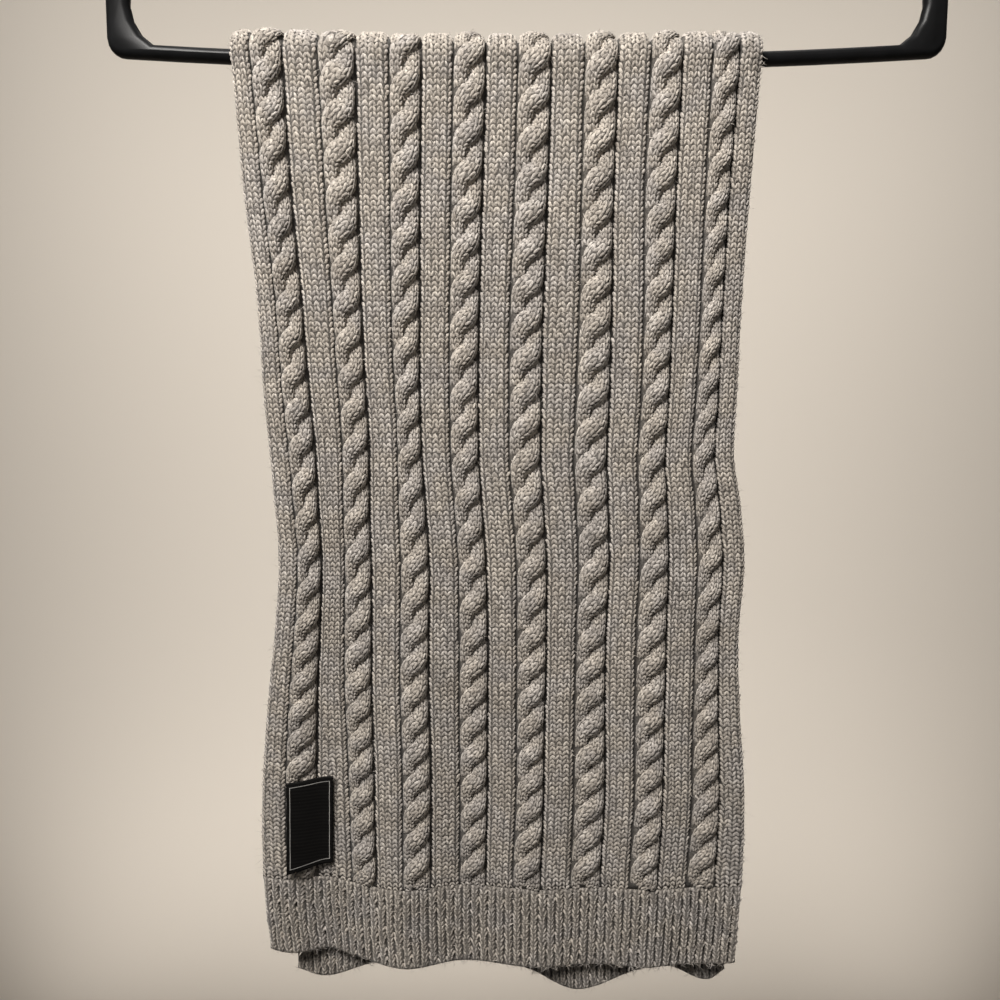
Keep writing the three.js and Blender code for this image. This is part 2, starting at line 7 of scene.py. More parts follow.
# %% Start from the solid model
import math
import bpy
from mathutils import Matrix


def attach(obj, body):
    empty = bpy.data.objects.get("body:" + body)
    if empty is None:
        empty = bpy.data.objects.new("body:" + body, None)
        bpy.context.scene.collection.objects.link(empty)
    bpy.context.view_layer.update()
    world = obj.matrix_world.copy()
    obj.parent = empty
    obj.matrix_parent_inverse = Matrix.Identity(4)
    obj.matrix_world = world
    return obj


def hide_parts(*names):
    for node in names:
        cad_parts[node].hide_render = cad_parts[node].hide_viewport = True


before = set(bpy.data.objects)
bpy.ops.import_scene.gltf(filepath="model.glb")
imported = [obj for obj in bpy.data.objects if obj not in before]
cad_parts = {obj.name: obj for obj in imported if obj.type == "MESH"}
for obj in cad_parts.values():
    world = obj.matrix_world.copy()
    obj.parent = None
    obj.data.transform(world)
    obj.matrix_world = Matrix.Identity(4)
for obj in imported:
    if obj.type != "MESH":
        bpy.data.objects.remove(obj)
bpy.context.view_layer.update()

from types import SimpleNamespace

import bpy
import numpy as np

print("solid parts:", sorted(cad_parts))

# %% [markdown]
# ## Sizes of the drape
# These are the sizes that the solid model was built from, in millimetres: the bar, how far each layer
# stands off it, where the rib bands start, and how the side edges, folds and cables run down the front.
# "Drop" is the distance below the bar, and "across" is a share of the width, from the left edge to the right.

# %% Sizes in millimetres
MM = 0.001
BAR = SimpleNamespace(z=-184.0, sag=5.0, half_span=185.0)
FRONT_RIB = 431.0  # drop where the rib band of the front starts
SECOND_RIB = 443.0  # the same for the second end
FRONT_HEM = 477.0
BACK_FOLD = 462.0  # drop where the back starts to turn up
SAG_FADE = 200.0  # below this drop the cloth no longer follows the bar's sag
FRONT_FOLD_FOOT = 485.0  # drop where the soft folds of the front stand out as far as their table says
FOLD_START, FOLD_POWER, FOLD_LIMIT = 150.0, 1.5, 1.2  # drop where soft folds start, and how they grow
EDGE_ROLL = 8.0  # width at each side edge that rolls inwards
LOOP = SimpleNamespace(hollow=1.8, foot=474.0, arc=34.0, straight=0.35)
PITCH = 17.5  # from one crossing of a cable to the next, at the bar
COURSE = 2.52  # height of one row of stitches

FRONT_EDGES = [  # drop, left, right
    (0, -141.8, 112.6), (66, -139, 110.2), (113, -135.3, 109), (162, -134.4, 108.9),
    (193, -132.6, 108.9), (214, -131.6, 112.8), (246, -130.6, 116.6), (290, -135, 115.2),
    (324, -139.8, 117), (383, -146, 122), (445, -147.6, 121.6), (485, -145, 119.1),
]
SECOND_EDGES = [
    (0, -131.5, 101), (193, -122.5, 97), (300, -125, 103.5),
    (383, -130, 109), (440, -131.5, 113), (500, -131.5, 117.5),
]
BACK_EDGES = [(0, -141.8, 112.6), (180, -134, 104.5), (330, -137.5, 110), (482, -142, 114)]
BACK_INNER_EDGES = [(0, -131.5, 101), (180, -125.5, 96), (330, -129, 101.5), (462, -133, 105)]
FRONT_FOLDS = [  # across, out
    (0, 2), (0.06, 4.8), (0.13, 0.5), (0.20, 8), (0.30, 17), (0.42, 10),
    (0.58, 16), (0.70, 13), (0.81, 16), (0.88, 13.5), (1, 13),
]
SECOND_FOLDS = [  # across, out, drop of the hem
    (0, 0.5, 493.5), (0.06, 0, 499), (0.18, 2, 489), (0.30, 4.5, 486), (0.42, 3, 486), (0.54, 8, 487),
    (0.65, 11, 497.5), (0.80, 8, 488), (0.87, 7, 486.5), (0.96, 8, 494), (1, 7.5, 488),
]
BACK_FOLDS = [(0, 1), (0.15, 4), (0.32, 0.5), (0.47, 6), (0.62, 1.5), (0.77, 6.5), (0.90, 2), (1, 4)]
BACK_INNER_FOLDS = [
    (0, 0), (0.15, 1.5), (0.32, 0), (0.47, 3), (0.62, 0.2), (0.77, 3.5), (0.90, 0.8), (1, 0.5),
]
CABLE_CENTRES = [  # drop, then each cable's centre as a share of the width
    (0, 0.068, 0.200, 0.329, 0.450, 0.572, 0.697, 0.820, 0.931),
    (60, 0.068, 0.195, 0.320, 0.441, 0.567, 0.698, 0.821, 0.933),
    (120, 0.067, 0.186, 0.306, 0.427, 0.555, 0.697, 0.826, 0.936),
    (180, 0.072, 0.189, 0.304, 0.422, 0.551, 0.692, 0.823, 0.933),
    (240, 0.068, 0.172, 0.294, 0.415, 0.542, 0.676, 0.805, 0.924),
    (300, 0.073, 0.186, 0.308, 0.434, 0.557, 0.683, 0.811, 0.930),
    (360, 0.081, 0.207, 0.324, 0.441, 0.558, 0.681, 0.803, 0.921),
    (420, 0.085, 0.218, 0.329, 0.443, 0.554, 0.675, 0.794, 0.913),
]
CABLE_WIDTHS = [  # drop, then each cable's width between its channels
    (0, 16.0, 18.6, 15.9, 16.1, 16.6, 16.6, 15.5, 13.2),
    (60, 14.3, 16.8, 15.0, 15.7, 16.7, 16.2, 15.7, 11.8),
    (120, 13.6, 14.9, 14.6, 15.2, 17.1, 16.8, 14.5, 11.0),
    (180, 14.3, 14.3, 12.7, 15.0, 16.8, 17.6, 14.4, 11.6),
    (240, 12.8, 14.4, 15.3, 15.0, 16.4, 16.9, 15.5, 13.4),
    (300, 14.5, 15.5, 15.8, 15.7, 16.1, 16.3, 16.4, 12.9),
    (360, 16.9, 15.1, 15.8, 15.5, 15.3, 17.4, 15.9, 14.8),
    (420, 16.7, 14.7, 15.6, 14.8, 15.8, 17.2, 15.8, 15.9),
]
CABLES = 8
LOWERING = [(-8, -8), (-8, -7.8), (-4.9, -1.7), (0, 0), (2.3, -1.7), (3.6, -1.1), (4.5, -4.2), (-3, -5.4)]
COURSES = np.array([  # crossing, drop
    (-60, 18.1 - 60 * PITCH), (0, 18.1), (5, 105.5), (10, 193.8),
    (15, 288.5), (20, 370.5), (40, 370.5 + 20 * 16.2),
])
COURSES_FOOT = 22  # the crossing at the foot of the front

print("cables:", CABLES, "and mm from one crossing to the next:", PITCH)


# %% [markdown]
# ## A smooth line through a table
# A soft edge is a smooth line through a few measured points. This helper draws one: its slope at each
# point is the mean of the slopes on both sides. It works on whole lists of places at once, which is what
# keeps a scarf of many thousands of stitches quick to make.


# %% Helpers for smooth values
def smooth_table(rows, column=1):
    at = np.array([row[0] for row in rows], float)
    value = np.array([row[column] for row in rows], float)
    secant = np.diff(value) / np.diff(at)
    slope = np.concatenate([secant[:1], (secant[:-1] + secant[1:]) / 2, secant[-1:]])

    def read(x):
        x = np.clip(x, at[0], at[-1])
        i = np.clip(np.searchsorted(at, x, side="right") - 1, 0, len(at) - 2)
        gap = at[i + 1] - at[i]
        p = (x - at[i]) / gap
        return (
            (2 * p**3 - 3 * p**2 + 1) * value[i]
            + (p**3 - 2 * p**2 + p) * gap * slope[i]
            + (3 * p**2 - 2 * p**3) * value[i + 1]
            + (p**3 - p**2) * gap * slope[i + 1]
        )

    return read


def lerp(a, b, share):
    return a + (b - a) * share


def smoothstep(x, low, high):
    share = np.clip((x - low) / (high - low), 0, 1)
    return share * share * (3 - 2 * share)


print("half way up a soft step:", float(smoothstep(0.5, 0, 1)))


# %% [markdown]
# ## Where the cloth hangs
# A point on the scarf has two addresses: how far across it is, and how far along the length, which is
# called its path here. The path is below zero on the front, turns round the bar, and goes on down the back.
# The same rule as in the solid model turns that address, and a height off the cloth, into a place in space.


# %% The two layers of the drape
class Layer:
    """inside is the distance off the bar's middle line, and curl is how far the side edges roll in."""

    def __init__(self, inside, turn_radius, curl, curl_at_foot, front, back):
        self.inside, self.radius, self.turn = inside, turn_radius, math.pi * turn_radius
        self.curl, self.curl_at_foot = curl, curl_at_foot
        self.front, self.back = front, back

    def drop(self, path):
        return np.where(path < self.turn / 2, np.maximum(-path, 0), np.maximum(path - self.turn, 0))

    def pick(self, path, front, back):
        return np.where(path < self.turn / 2, front, back)

    def edges(self, path):
        drop = self.drop(path)
        left = self.pick(path, self.front.left(drop), self.back.left(drop))
        right = self.pick(path, self.front.right(drop), self.back.right(drop))
        return left, right

    def stand(self, across, path):
        foot = self.pick(path, self.front.foot, self.back.foot)
        fade = np.clip((self.drop(path) - FOLD_START) / (foot - FOLD_START), 0, FOLD_LIMIT) ** FOLD_POWER
        left, right = self.edges(path)
        to_edge = np.minimum(across, 1 - across) * (right - left)
        roll = np.clip(1 - to_edge / EDGE_ROLL, 0, 1) ** 2
        out = self.pick(path, self.front.out(across), self.back.out(across))
        return out * fade - lerp(self.curl, self.curl_at_foot, fade) * roll

    def point(self, across, path, height):
        left, right = self.edges(path)
        x = lerp(left, right, across)
        out = self.inside + self.stand(across, path) + height
        angle = np.clip(path / self.radius, 0, math.pi)
        drop = self.drop(path)
        lift = BAR.sag * (x / BAR.half_span) ** 2 * (1 - smoothstep(drop, 0, SAG_FADE))
        rise = np.where((path > 0) & (path < self.turn), out * np.sin(angle), 0.0)
        return np.stack([x, -out * np.cos(angle), BAR.z + lift + rise - drop], -1) * MM


def side(edges, folds, foot):
    return SimpleNamespace(
        left=smooth_table(edges, 1), right=smooth_table(edges, 2), out=smooth_table(folds, 1), foot=foot
    )


outer = Layer(
    inside=7.9, turn_radius=11.0, curl=2.2, curl_at_foot=1.1,
    front=side(FRONT_EDGES, FRONT_FOLDS, FRONT_FOLD_FOOT),
    back=side(BACK_EDGES, BACK_FOLDS, BACK_FOLD),
)
inner = Layer(
    inside=3.9, turn_radius=5.7, curl=0.0, curl_at_foot=0.0,
    front=side(SECOND_EDGES, SECOND_FOLDS, FRONT_FOLD_FOOT),
    back=side(BACK_INNER_EDGES, BACK_INNER_FOLDS, BACK_FOLD),
)
INNER_THICK = 3.6
FOLD_FROM = outer.turn + BACK_FOLD
FOLD_TO = FOLD_FROM + LOOP.arc
print(f"the outer layer is {(FRONT_RIB + FOLD_TO) / 1000:.3f} m long without its rib band")


# %% [markdown]
# ## Round the fold at the foot of the back
# Below the back, the length turns up again inside itself. Its section is a narrow loop: straight down,
# a half circle round a small hollow, and straight up to meet the inner layer. One fault is known and left:
# on this stretch the height off the cloth is added along the path and not square to it, so the fold comes
# out almost flat, with its stitches sunk in it.


# %% The fold at the foot of the back
FOLD_STEP = 0.004  # share of the fold between a point and its neighbours, which give its direction


def fold_line(share):
    middle = (outer.inside + inner.inside + INNER_THICK) / 2
    going_down = share < 0.5
    near = np.where(going_down, share, 1 - share)
    way = np.where(going_down, 1.0, -1.0)
    start = np.where(going_down, outer.inside, inner.inside + INNER_THICK)
    part = np.clip(near / LOOP.straight, 0, 1)
    straight_y = lerp(start, middle + way * LOOP.hollow, smoothstep(part, 0, 1))
    straight_z = -lerp(BACK_FOLD, LOOP.foot, part)
    angle = np.clip((share - LOOP.straight) / (1 - 2 * LOOP.straight), 0, 1) * math.pi
    on_straight = near < LOOP.straight
    y = np.where(on_straight, straight_y, middle + LOOP.hollow * np.cos(angle))
    z = np.where(on_straight, straight_z, -LOOP.foot - LOOP.hollow * np.sin(angle))
    return y, z


def fold_point(across, path, height):
    share = np.clip((path - FOLD_FROM) / LOOP.arc, 0, 1)
    y, z = fold_line(share)
    y0, z0 = fold_line(np.maximum(share - FOLD_STEP, 0))
    y1, z1 = fold_line(np.minimum(share + FOLD_STEP, 1))
    length = np.hypot(y1 - y0, z1 - z0)
    along_y, along_z = (y1 - y0) / length, (z1 - z0) / length
    part = smoothstep(share, 0, 1)
    outer_left, outer_right = outer.edges(np.full_like(path, FOLD_FROM))
    inner_end = np.full_like(path, inner.turn + BACK_FOLD)
    inner_left, inner_right = inner.edges(inner_end)
    x = lerp(lerp(outer_left, outer_right, across), lerp(inner_left, inner_right, across), part)
    outer_stand = outer.stand(across, np.full_like(path, FOLD_FROM))
    stand = lerp(outer_stand, inner.stand(across, inner_end), part)
    return np.stack([x, y + stand - along_y * height, BAR.z + z + along_z * height], -1) * MM


def as_arrays(*values):
    return np.broadcast_arrays(*(np.asarray(value, float) for value in values))


def outer_point(across, path, height):
    across, path, height = as_arrays(across, path, height)
    on_fold = (path > FOLD_FROM)[..., None]
    return np.where(on_fold, fold_point(across, path, height), outer.point(across, path, height))


def inner_point(across, path, height):
    return inner.point(*as_arrays(across, path, height))


print("mm that the fold hangs below the bar:", LOOP.foot + LOOP.hollow)


# %% [markdown]
# ## Where the cables run
# Each cable has a purl channel on both sides. Its two strands cross every seven rows. The count of
# crossings down the front is a table too, because the knit is stretched more in some places than others.


# %% The cables' lines
centres = [smooth_table(CABLE_CENTRES, n + 1) for n in range(CABLES)]
widths = [smooth_table(CABLE_WIDTHS, n + 1) for n in range(CABLES)]


def cable_half(n, path):
    return widths[n](-path) / 2


def cable_across(n, path, offset):
    left, right = outer.edges(path)
    return centres[n](-path) + offset / (right - left)


FOOT_DROP = np.interp(COURSES_FOOT, COURSES[:, 0], COURSES[:, 1])


def crossing(n, path):
    low = lerp(*LOWERING[n], np.clip(-path / FOOT_DROP, 0, 1))
    return np.interp(-path - low, COURSES[:, 1], COURSES[:, 0])


def settle(path):
    """1 where the knit has its full relief, and 0 where it joins the rib band or the inner layer."""
    near_fold = smoothstep((path - FOLD_FROM) / LOOP.arc, 0.5, 1)
    return smoothstep(FRONT_RIB + path, 0, PITCH / 2) * (1 - near_fold)


first_width = float(cable_half(0, np.array(0.0))) * 2
print("the first cable at the bar, mm between its channels:", round(first_width, 1))


# %% [markdown]
# ## From points to a mesh
# A knit surface is easiest to make as a grid: one list of points for each column. Two grids, the face and
# the back of the cloth, are joined round their rim, so that the sheet is a closed shell with a real
# thickness. Every grid also gets a UV map counted in stitches, which the wool's pattern reads later.


# %% Helpers that make meshes
def make_mesh(name, points, faces, maps=None, tone=None):
    mesh = bpy.data.meshes.new(name)
    mesh.from_pydata(points, [], faces)
    for map_name, places in (maps or {}).items():
        layer = mesh.uv_layers.new(name=map_name)
        layer.data.foreach_set("uv", np.ascontiguousarray(places, np.float32).ravel())
    # The tone attribute holds each stitch's own random tone, and on a sheet its painted shade.
    if tone is not None:
        mesh.attributes.new("tone", "FLOAT", "POINT").data.foreach_set("value", tone.astype(np.float32))
    mesh.shade_smooth()
    mesh.validate()
    piece = bpy.data.objects.new(name, mesh)
    bpy.context.scene.collection.objects.link(piece)
    print(f"{name}: {sum(len(p.vertices) - 2 for p in mesh.polygons)} triangles")
    return piece


def grid_faces(columns, rows, start=0):
    c, r = np.meshgrid(np.arange(columns - 1), np.arange(rows - 1), indexing="ij")
    a = start + (c * rows + r).ravel()
    return np.stack([a, a + rows, a + rows + 1, a + 1], -1)


def rim(columns, rows):
    """Grid numbers round the rim, against the clock as the face is seen."""
    last = (columns - 1) * rows
    foot = [c * rows for c in range(columns)]
    right = [last + r for r in range(1, rows)]
    top = [c * rows + rows - 1 for c in range(columns - 2, -1, -1)]
    left = [r for r in range(rows - 2, 0, -1)]
    return np.array(foot + right + top + left)


def shell(name, face, back, stitches, shade=None):
    """A closed sheet from the grids of its two sides, as arrays of columns, rows and x, y, z."""
    columns, rows = face.shape[:2]
    points = np.concatenate([face.reshape(-1, 3), back.reshape(-1, 3)])
    front = grid_faces(columns, rows)
    behind = front[:, ::-1] + columns * rows
    ring = rim(columns, rows)
    after = np.roll(ring, -1)
    edge = np.stack([ring, ring + columns * rows, after + columns * rows, after], -1)
    faces = np.concatenate([front, behind, edge])
    knit = np.concatenate([stitches.reshape(-1, 2)] * 2)[faces.ravel()]
    # The face's shade is painted shade, darkest at 0; the back gets none.
    if shade is not None:
        shade = np.concatenate([shade.ravel(), np.ones(shade.size)])
    return make_mesh(name, points, faces.tolist(), {"Knit": knit}, shade)


# %% [markdown]
# ## The ground of the knit
# Under the stitches lies the ground: the thin body of the fabric, sunk into a channel beside each cable.
# It shows dark between the stitches through painted shade, deepest in the channels. Its columns follow the
# channels, so each keeps its sharp line.


# %% The ground's columns
WALES = {"border": 3, "flat": 4, "cable": 8}
GAP = 0.45  # between a cable's channel and the band beside it
GROUND = SimpleNamespace(  # heights and the grid's step in mm, and how much of a channel's depth edges sink
    channel=0.6, under_cable=1.7, flat=2.4, border=1.9, join=2.2, row=5.4, roll=0.5
)
BAND_PLACES = (0.0, 0.12, 0.3, 0.5, 0.7, 0.88, 1.0)  # shares of a band's width
CABLE_PLACES = (-0.97, -0.85, 0.0, 0.85, 0.97)  # shares of half a cable's width
TOP = outer.turn / 2  # the path's middle, on top of the bar
BAR_RISE = SimpleNamespace(flat=1.8, full=8.0, gone=32.0)


def band_edges(band, path):
    """Shares of the width at both sides of a band: 0 is the left border, 8 the right one."""
    left = 0.0 if band == 0 else cable_across(band - 1, path, cable_half(band - 1, path) + GAP)
    right = 1.0 if band == CABLES else cable_across(band, path, -cable_half(band, path) - GAP)
    return left + 0 * path, right + 0 * path


def band_wales(band):
    return WALES["border"] if band in (0, CABLES) else WALES["flat"]


def band_top(band):
    return GROUND.border if band in (0, CABLES) else GROUND.flat


def bar_rise(path):
    """Over the bar the bands are pushed up, almost level with the cables."""
    return BAR_RISE.flat * (1 - smoothstep(np.abs(path - TOP), BAR_RISE.full, BAR_RISE.gone))


def ground_columns(path):
    """Across and height of each column of the ground, and its count in wales."""
    columns, wale = [], 0.0
    for band in range(CABLES + 1):
        left, right = band_edges(band, path)
        for share in BAND_PLACES:
            open_side = (band == 0 and share < 0.5) or (band == CABLES and share > 0.5)
            edge = smoothstep(abs(share - 0.5), 0.36, 0.5) * (GROUND.roll if open_side else 1)
            height = lerp(band_top(band), GROUND.channel, edge) + bar_rise(path)
            columns.append((lerp(left, right, share), height, wale + share * band_wales(band)))
        wale += band_wales(band)
        if band < CABLES:
            for place in CABLE_PLACES:
                across = cable_across(band, path, place * cable_half(band, path))
                height = GROUND.channel if abs(place) > 0.9 else GROUND.under_cable
                columns.append((across, height, wale + WALES["cable"] / 2 + 3.5 * place))
            wale += WALES["cable"]
    return columns


def path_rows(start, end, step):
    return np.linspace(start, end, max(2, int(round((end - start) / step)) + 1))


ground_rows = path_rows(-FRONT_RIB, FOLD_TO, GROUND.row)
columns = ground_columns(ground_rows)
across = np.array([c[0] for c in columns])
height = np.array([c[1] + 0 * ground_rows for c in columns])
height = lerp(GROUND.join, height, settle(ground_rows))
path = np.broadcast_to(ground_rows, across.shape)
stitches = np.stack([np.array([c[2] + 0 * ground_rows for c in columns]), path / COURSE], -1)
# Painted shade: 0 in the channels, where the ground is darkest, and 1 on the bands.
shade = smoothstep(height, GROUND.channel + 0.25, GROUND.border)
ground_face, ground_back = outer_point(across, path, height), outer_point(across, path, 0.0)
scarf_length = shell("scarf_length", ground_face, ground_back, stitches, shade)


# %% [markdown]
# ## The strands of the cables
# A cable is two ropes of knit, each four stitches wide, that swap places every seven rows. In section,
# each rope swings from side to side and, a quarter turn later, from front to back. Two sine waves make
# that path, and a half round section makes the rope.


# %% The strands' shape
STRAND = SimpleNamespace(  # shares of half a cable's width, and heights in mm
    wales=4, swing=0.48, half=0.49, spread=0.19, sway=1.6, thick=2.4, base=1.6, join=2.6, sharpen=0.20
)
SIDE = SimpleNamespace(free=0.78, reach=0.16)
TUBE = SimpleNamespace(row=3.2, sides=8, sunk=0.35)  # mm along, points round, mm under the stitches


def strand_line(n, strand, path):
    """The strand's middle, its height there and half its width. A strand spreads where the two cross."""
    turn = math.pi * (strand - crossing(n, path))
    turn = turn + STRAND.sharpen * np.sin(2 * turn)
    half = cable_half(n, path)
    reach = half * (STRAND.half + STRAND.spread * np.cos(turn) ** 2)
    return STRAND.swing * half * np.sin(turn), STRAND.base + STRAND.sway * np.cos(turn), reach


def keep_between(n, path, x):
    """The cable's side stitches hold the strands in, so their outlines flatten towards both channels."""
    share = np.abs(x) / cable_half(n, path)
    over = np.maximum(share - SIDE.free, 0)
    held = np.minimum(share, SIDE.free) + SIDE.reach * np.tanh(over / SIDE.reach)
    return np.sign(x) * cable_half(n, path) * held


def strand_place(n, strand, u, path, lift):
    """u goes from -1 to 1 across the strand's round top, and lift is a height off it."""
    middle, rise, half = strand_line(n, strand, path)
    slope = strand_line(n, strand, path + 0.5)[0] - strand_line(n, strand, path - 0.5)[0]
    norm = np.hypot(1, slope)
    angle = u * math.pi / 2
    reach = (half + lift) * np.sin(angle)
    x = keep_between(n, path, middle + reach / norm)
    along = path - reach * slope / norm
    height = rise + (STRAND.thick + lift) * np.cos(angle)
    height = lerp(np.minimum(height, STRAND.join + lift), height, settle(path))
    return cable_across(n, along, x), np.clip(along, -FRONT_RIB, FOLD_TO), height


def strand_tube(n, strand):
    rows = path_rows(-FRONT_RIB, FOLD_TO, TUBE.row)
    top = np.linspace(-1, 1, TUBE.sides)[:, None]
    return outer_point(*strand_place(n, strand, top, rows[None, :] + 0 * top, -TUBE.sunk))


def tube_faces(sides, rows, start):
    """The round top, the flat underside and both ends of a strand."""
    low = start + np.arange(rows - 1)
    high = low + (sides - 1) * rows
    under = np.stack([low, low + 1, high + 1, high], -1)
    first = [start + s * rows for s in range(sides)][::-1]
    last = [start + s * rows + rows - 1 for s in range(sides)]
    return grid_faces(sides, rows, start).tolist() + under.tolist() + [first, last]


tubes = [strand_tube(n, strand) for n in range(CABLES) for strand in (0, 1)]
all_faces, count = [], 0
for tube in tubes:
    sides, rows = tube.shape[:2]
    all_faces += tube_faces(sides, rows, count)
    count += sides * rows
cable_strands = make_mesh("cable_strands", np.concatenate([tube.reshape(-1, 3) for tube in tubes]), all_faces)


# %% [markdown]
# ## One stitch
# A knit stitch shows as a V: two short legs of yarn that lean apart. Each leg here is a small grain of
# 8 triangles, open underneath, where nothing shows. It is laid on the ground by the same address as
# everything else: wales, which are columns of stitches, across, and rows along. All the legs of a piece
# are made in one go, because lists of numbers are far quicker than a loop.


# %% The leg of a stitch
LEG = np.array([  # wales across, rows along, height in mm
    (0.07, -0.10, -0.10),
    (-0.01, 0.26, -0.20), (0.17, 0.15, 0.48), (0.35, 0.03, -0.20),
    (0.19, 0.90, -0.20), (0.37, 0.79, 0.48), (0.55, 0.67, -0.20),
    (0.47, 1.04, -0.10),
])
LEG_FACES = np.array([
    (0, 2, 1), (0, 3, 2), (1, 2, 5), (1, 5, 4), (2, 3, 6), (2, 6, 5), (4, 5, 7), (5, 6, 7),
])
LEG_CORNERS = np.array([  # each corner of those triangles on the leg's own map, across it and along it
    (0.25, 0), (0.5, 0.33), (0, 0.33), (0.75, 0), (1, 0.33), (0.5, 0.33),
    (0, 0.33), (0.5, 0.33), (0.5, 0.67), (0, 0.33), (0.5, 0.67), (0, 0.67),
    (0.5, 0.33), (1, 0.33), (1, 0.67), (0.5, 0.33), (1, 0.67), (0.5, 0.67),
    (0, 0.67), (0.5, 0.67), (0.25, 1), (0.5, 0.67), (1, 0.67), (0.75, 1),
])
VARIETY = SimpleNamespace(size=0.10, shift=0.05)  # how far a leg may differ from its neighbours
CELL = SimpleNamespace(slim=1.6, margin=0.04)  # height over width, and the share left free at each side
ROW_EARLY, ROW_SHORT = 0.6, 1.6  # mm by which the first row starts early and the last one stays short


def cell_map(count, corners):
    """A map with a cell for each of many small shapes, from the corners of one shape's triangles."""
    across = math.ceil(math.sqrt(count * CELL.slim))
    cell = np.stack([np.arange(count) % across, np.arange(count) // across], -1)
    scale = 1 / across, 1 / math.ceil(count / across)
    return ((cell[:, None] + CELL.margin + (1 - 2 * CELL.margin) * corners[None]) * scale).reshape(-1, 2)


def lay_stitches(name, groups, seed, shape=LEG):
    """groups holds, for each band of wales, its stitches' wales, paths and the rule that places them."""
    random = np.random.default_rng(seed)
    points, faces, tones, count = [], [], [], 0
    for wale, path, place in groups:
        for way in (1, -1):
            legs = len(wale)
            size = 1 + VARIETY.size * random.standard_normal(legs).clip(-2, 2)
            shift = VARIETY.shift * random.standard_normal((legs, 2)).clip(-2, 2)
            tone = random.uniform(0, 1, legs)
            w = wale[:, None] + way * (shape[:, 0] * size[:, None] + shift[:, :1])
            p = path[:, None] + (shape[:, 1] + shift[:, 1:]) * COURSE
            h = shape[:, 2] * np.where(shape[:, 2] > 0, size[:, None], 1)
            points.append(place(w, p, h).reshape(-1, 3))
            leg = LEG_FACES if way == 1 else LEG_FACES[:, ::-1]
            first_corners = count + len(shape) * np.arange(legs)
            faces.append((leg[None] + first_corners[:, None, None]).reshape(-1, 3))
            tones.append(np.repeat(tone, len(shape)))
            count += len(shape) * legs
    points, faces, tones = np.concatenate(points), np.concatenate(faces), np.concatenate(tones)
    return make_mesh(name, points, faces, {"OFBake": cell_map(count // len(shape), LEG_CORNERS)}, tones)


def stitch_rows(start, end):
    return np.arange(start - ROW_EARLY, end - ROW_SHORT, COURSE)


print("mm that a leg stands off the ground:", LEG[:, 2].max())


# %% [markdown]
# ## The stitches of the flat bands
# Between the cables run bands of plain stocking stitch, four stitches wide, and a border of three down
# each side. The outermost stitches of a band roll down into its purl channels.


# %% Stitches of the flat bands and borders
STITCH = SimpleNamespace(over_band=0.1, over_channel=0.35, join=2.25)  # mm over each, and at a seam


def band_place(band):
    """The rule that places a band's stitches: w in wales, p the path and h the height off its ground."""
    wales = band_wales(band)

    def place(w, p, h):
        share = w / wales
        left, right = band_edges(band, p)
        open_side = ((band == 0) & (share < 0.5)) | ((band == CABLES) & (share > 0.5))
        edge = smoothstep(np.abs(share - 0.5), 0.30, 0.55) * np.where(open_side, GROUND.roll, 1)
        top = lerp(band_top(band) + STITCH.over_band, GROUND.channel + STITCH.over_channel, edge)
        top = lerp(STITCH.join, top + bar_rise(p), settle(p))
        return outer_point(lerp(left, right, share), np.clip(p, -FRONT_RIB, FOLD_TO), top + h)

    return place


def band_groups(start, end):
    groups = []
    rows = stitch_rows(start, end)
    for band in range(CABLES + 1):
        wale, path = np.meshgrid(np.arange(band_wales(band)) + 0.5, rows, indexing="ij")
        groups.append((wale.ravel(), path.ravel(), band_place(band)))
    return groups


front_flat_stitches = lay_stitches("front_flat_stitches", band_groups(-FRONT_RIB, TOP), 11)
back_flat_stitches = lay_stitches("back_flat_stitches", band_groups(TOP, FOLD_TO), 12)


# %% [markdown]
# ## The stitches of the cables
# Each strand carries four wales that follow it round the twist. Stitches that lie under the other
# strand can't be seen, so they are left out, as a maker of models would leave out a hidden inside.


# %% Stitches of the cable strands
HIDDEN = SimpleNamespace(lift=0.3, reach=1.1, inside=0.5)  # mm off, share of the width, mm below the top
BEDDED = 0.12  # mm that the stitches sink into their strand


def strand_hidden(n, strand, u, path):
    """True where the cable's other strand passes over this place."""
    across, along, height = strand_place(n, strand, u, path, HIDDEN.lift)
    middle, rise, reach = strand_line(n, 1 - strand, along)
    left, right = outer.edges(along)
    x = (across - cable_across(n, along, 0.0)) * (right - left)
    cover = np.sqrt(np.clip(1 - ((x - middle) / (reach * HIDDEN.reach)) ** 2, 0, None))
    return (cover > 0) & (height < rise + (STRAND.thick - HIDDEN.inside) * cover)


def cable_groups(start, end, cables):
    groups = []
    rows = stitch_rows(start, end)
    for n in cables:
        for strand in (0, 1):
            wale, path = np.meshgrid(np.arange(STRAND.wales) + 0.5, rows, indexing="ij")
            wale, path = wale.ravel(), path.ravel()
            seen = ~strand_hidden(n, strand, wale * 2 / STRAND.wales - 1, path)

            def place(w, p, h, n=n, strand=strand):
                return outer_point(*strand_place(n, strand, w * 2 / STRAND.wales - 1, p, h - BEDDED))

            groups.append((wale[seen], path[seen], place))
    return groups


every_cable = range(CABLES)
front_cable_stitches = lay_stitches("front_cable_stitches", cable_groups(-FRONT_RIB, TOP, every_cable), 13)
back_cable_stitches = lay_stitches("back_cable_stitches", cable_groups(TOP, FOLD_TO, every_cable), 14)


# %% [markdown]
# ## The rib bands
# Both ends finish in ribbing: 57 upright ribs, each one stitch wide, with a deep furrow between. The ground
# is a corrugated sheet, and each rib carries one wale of stitches.

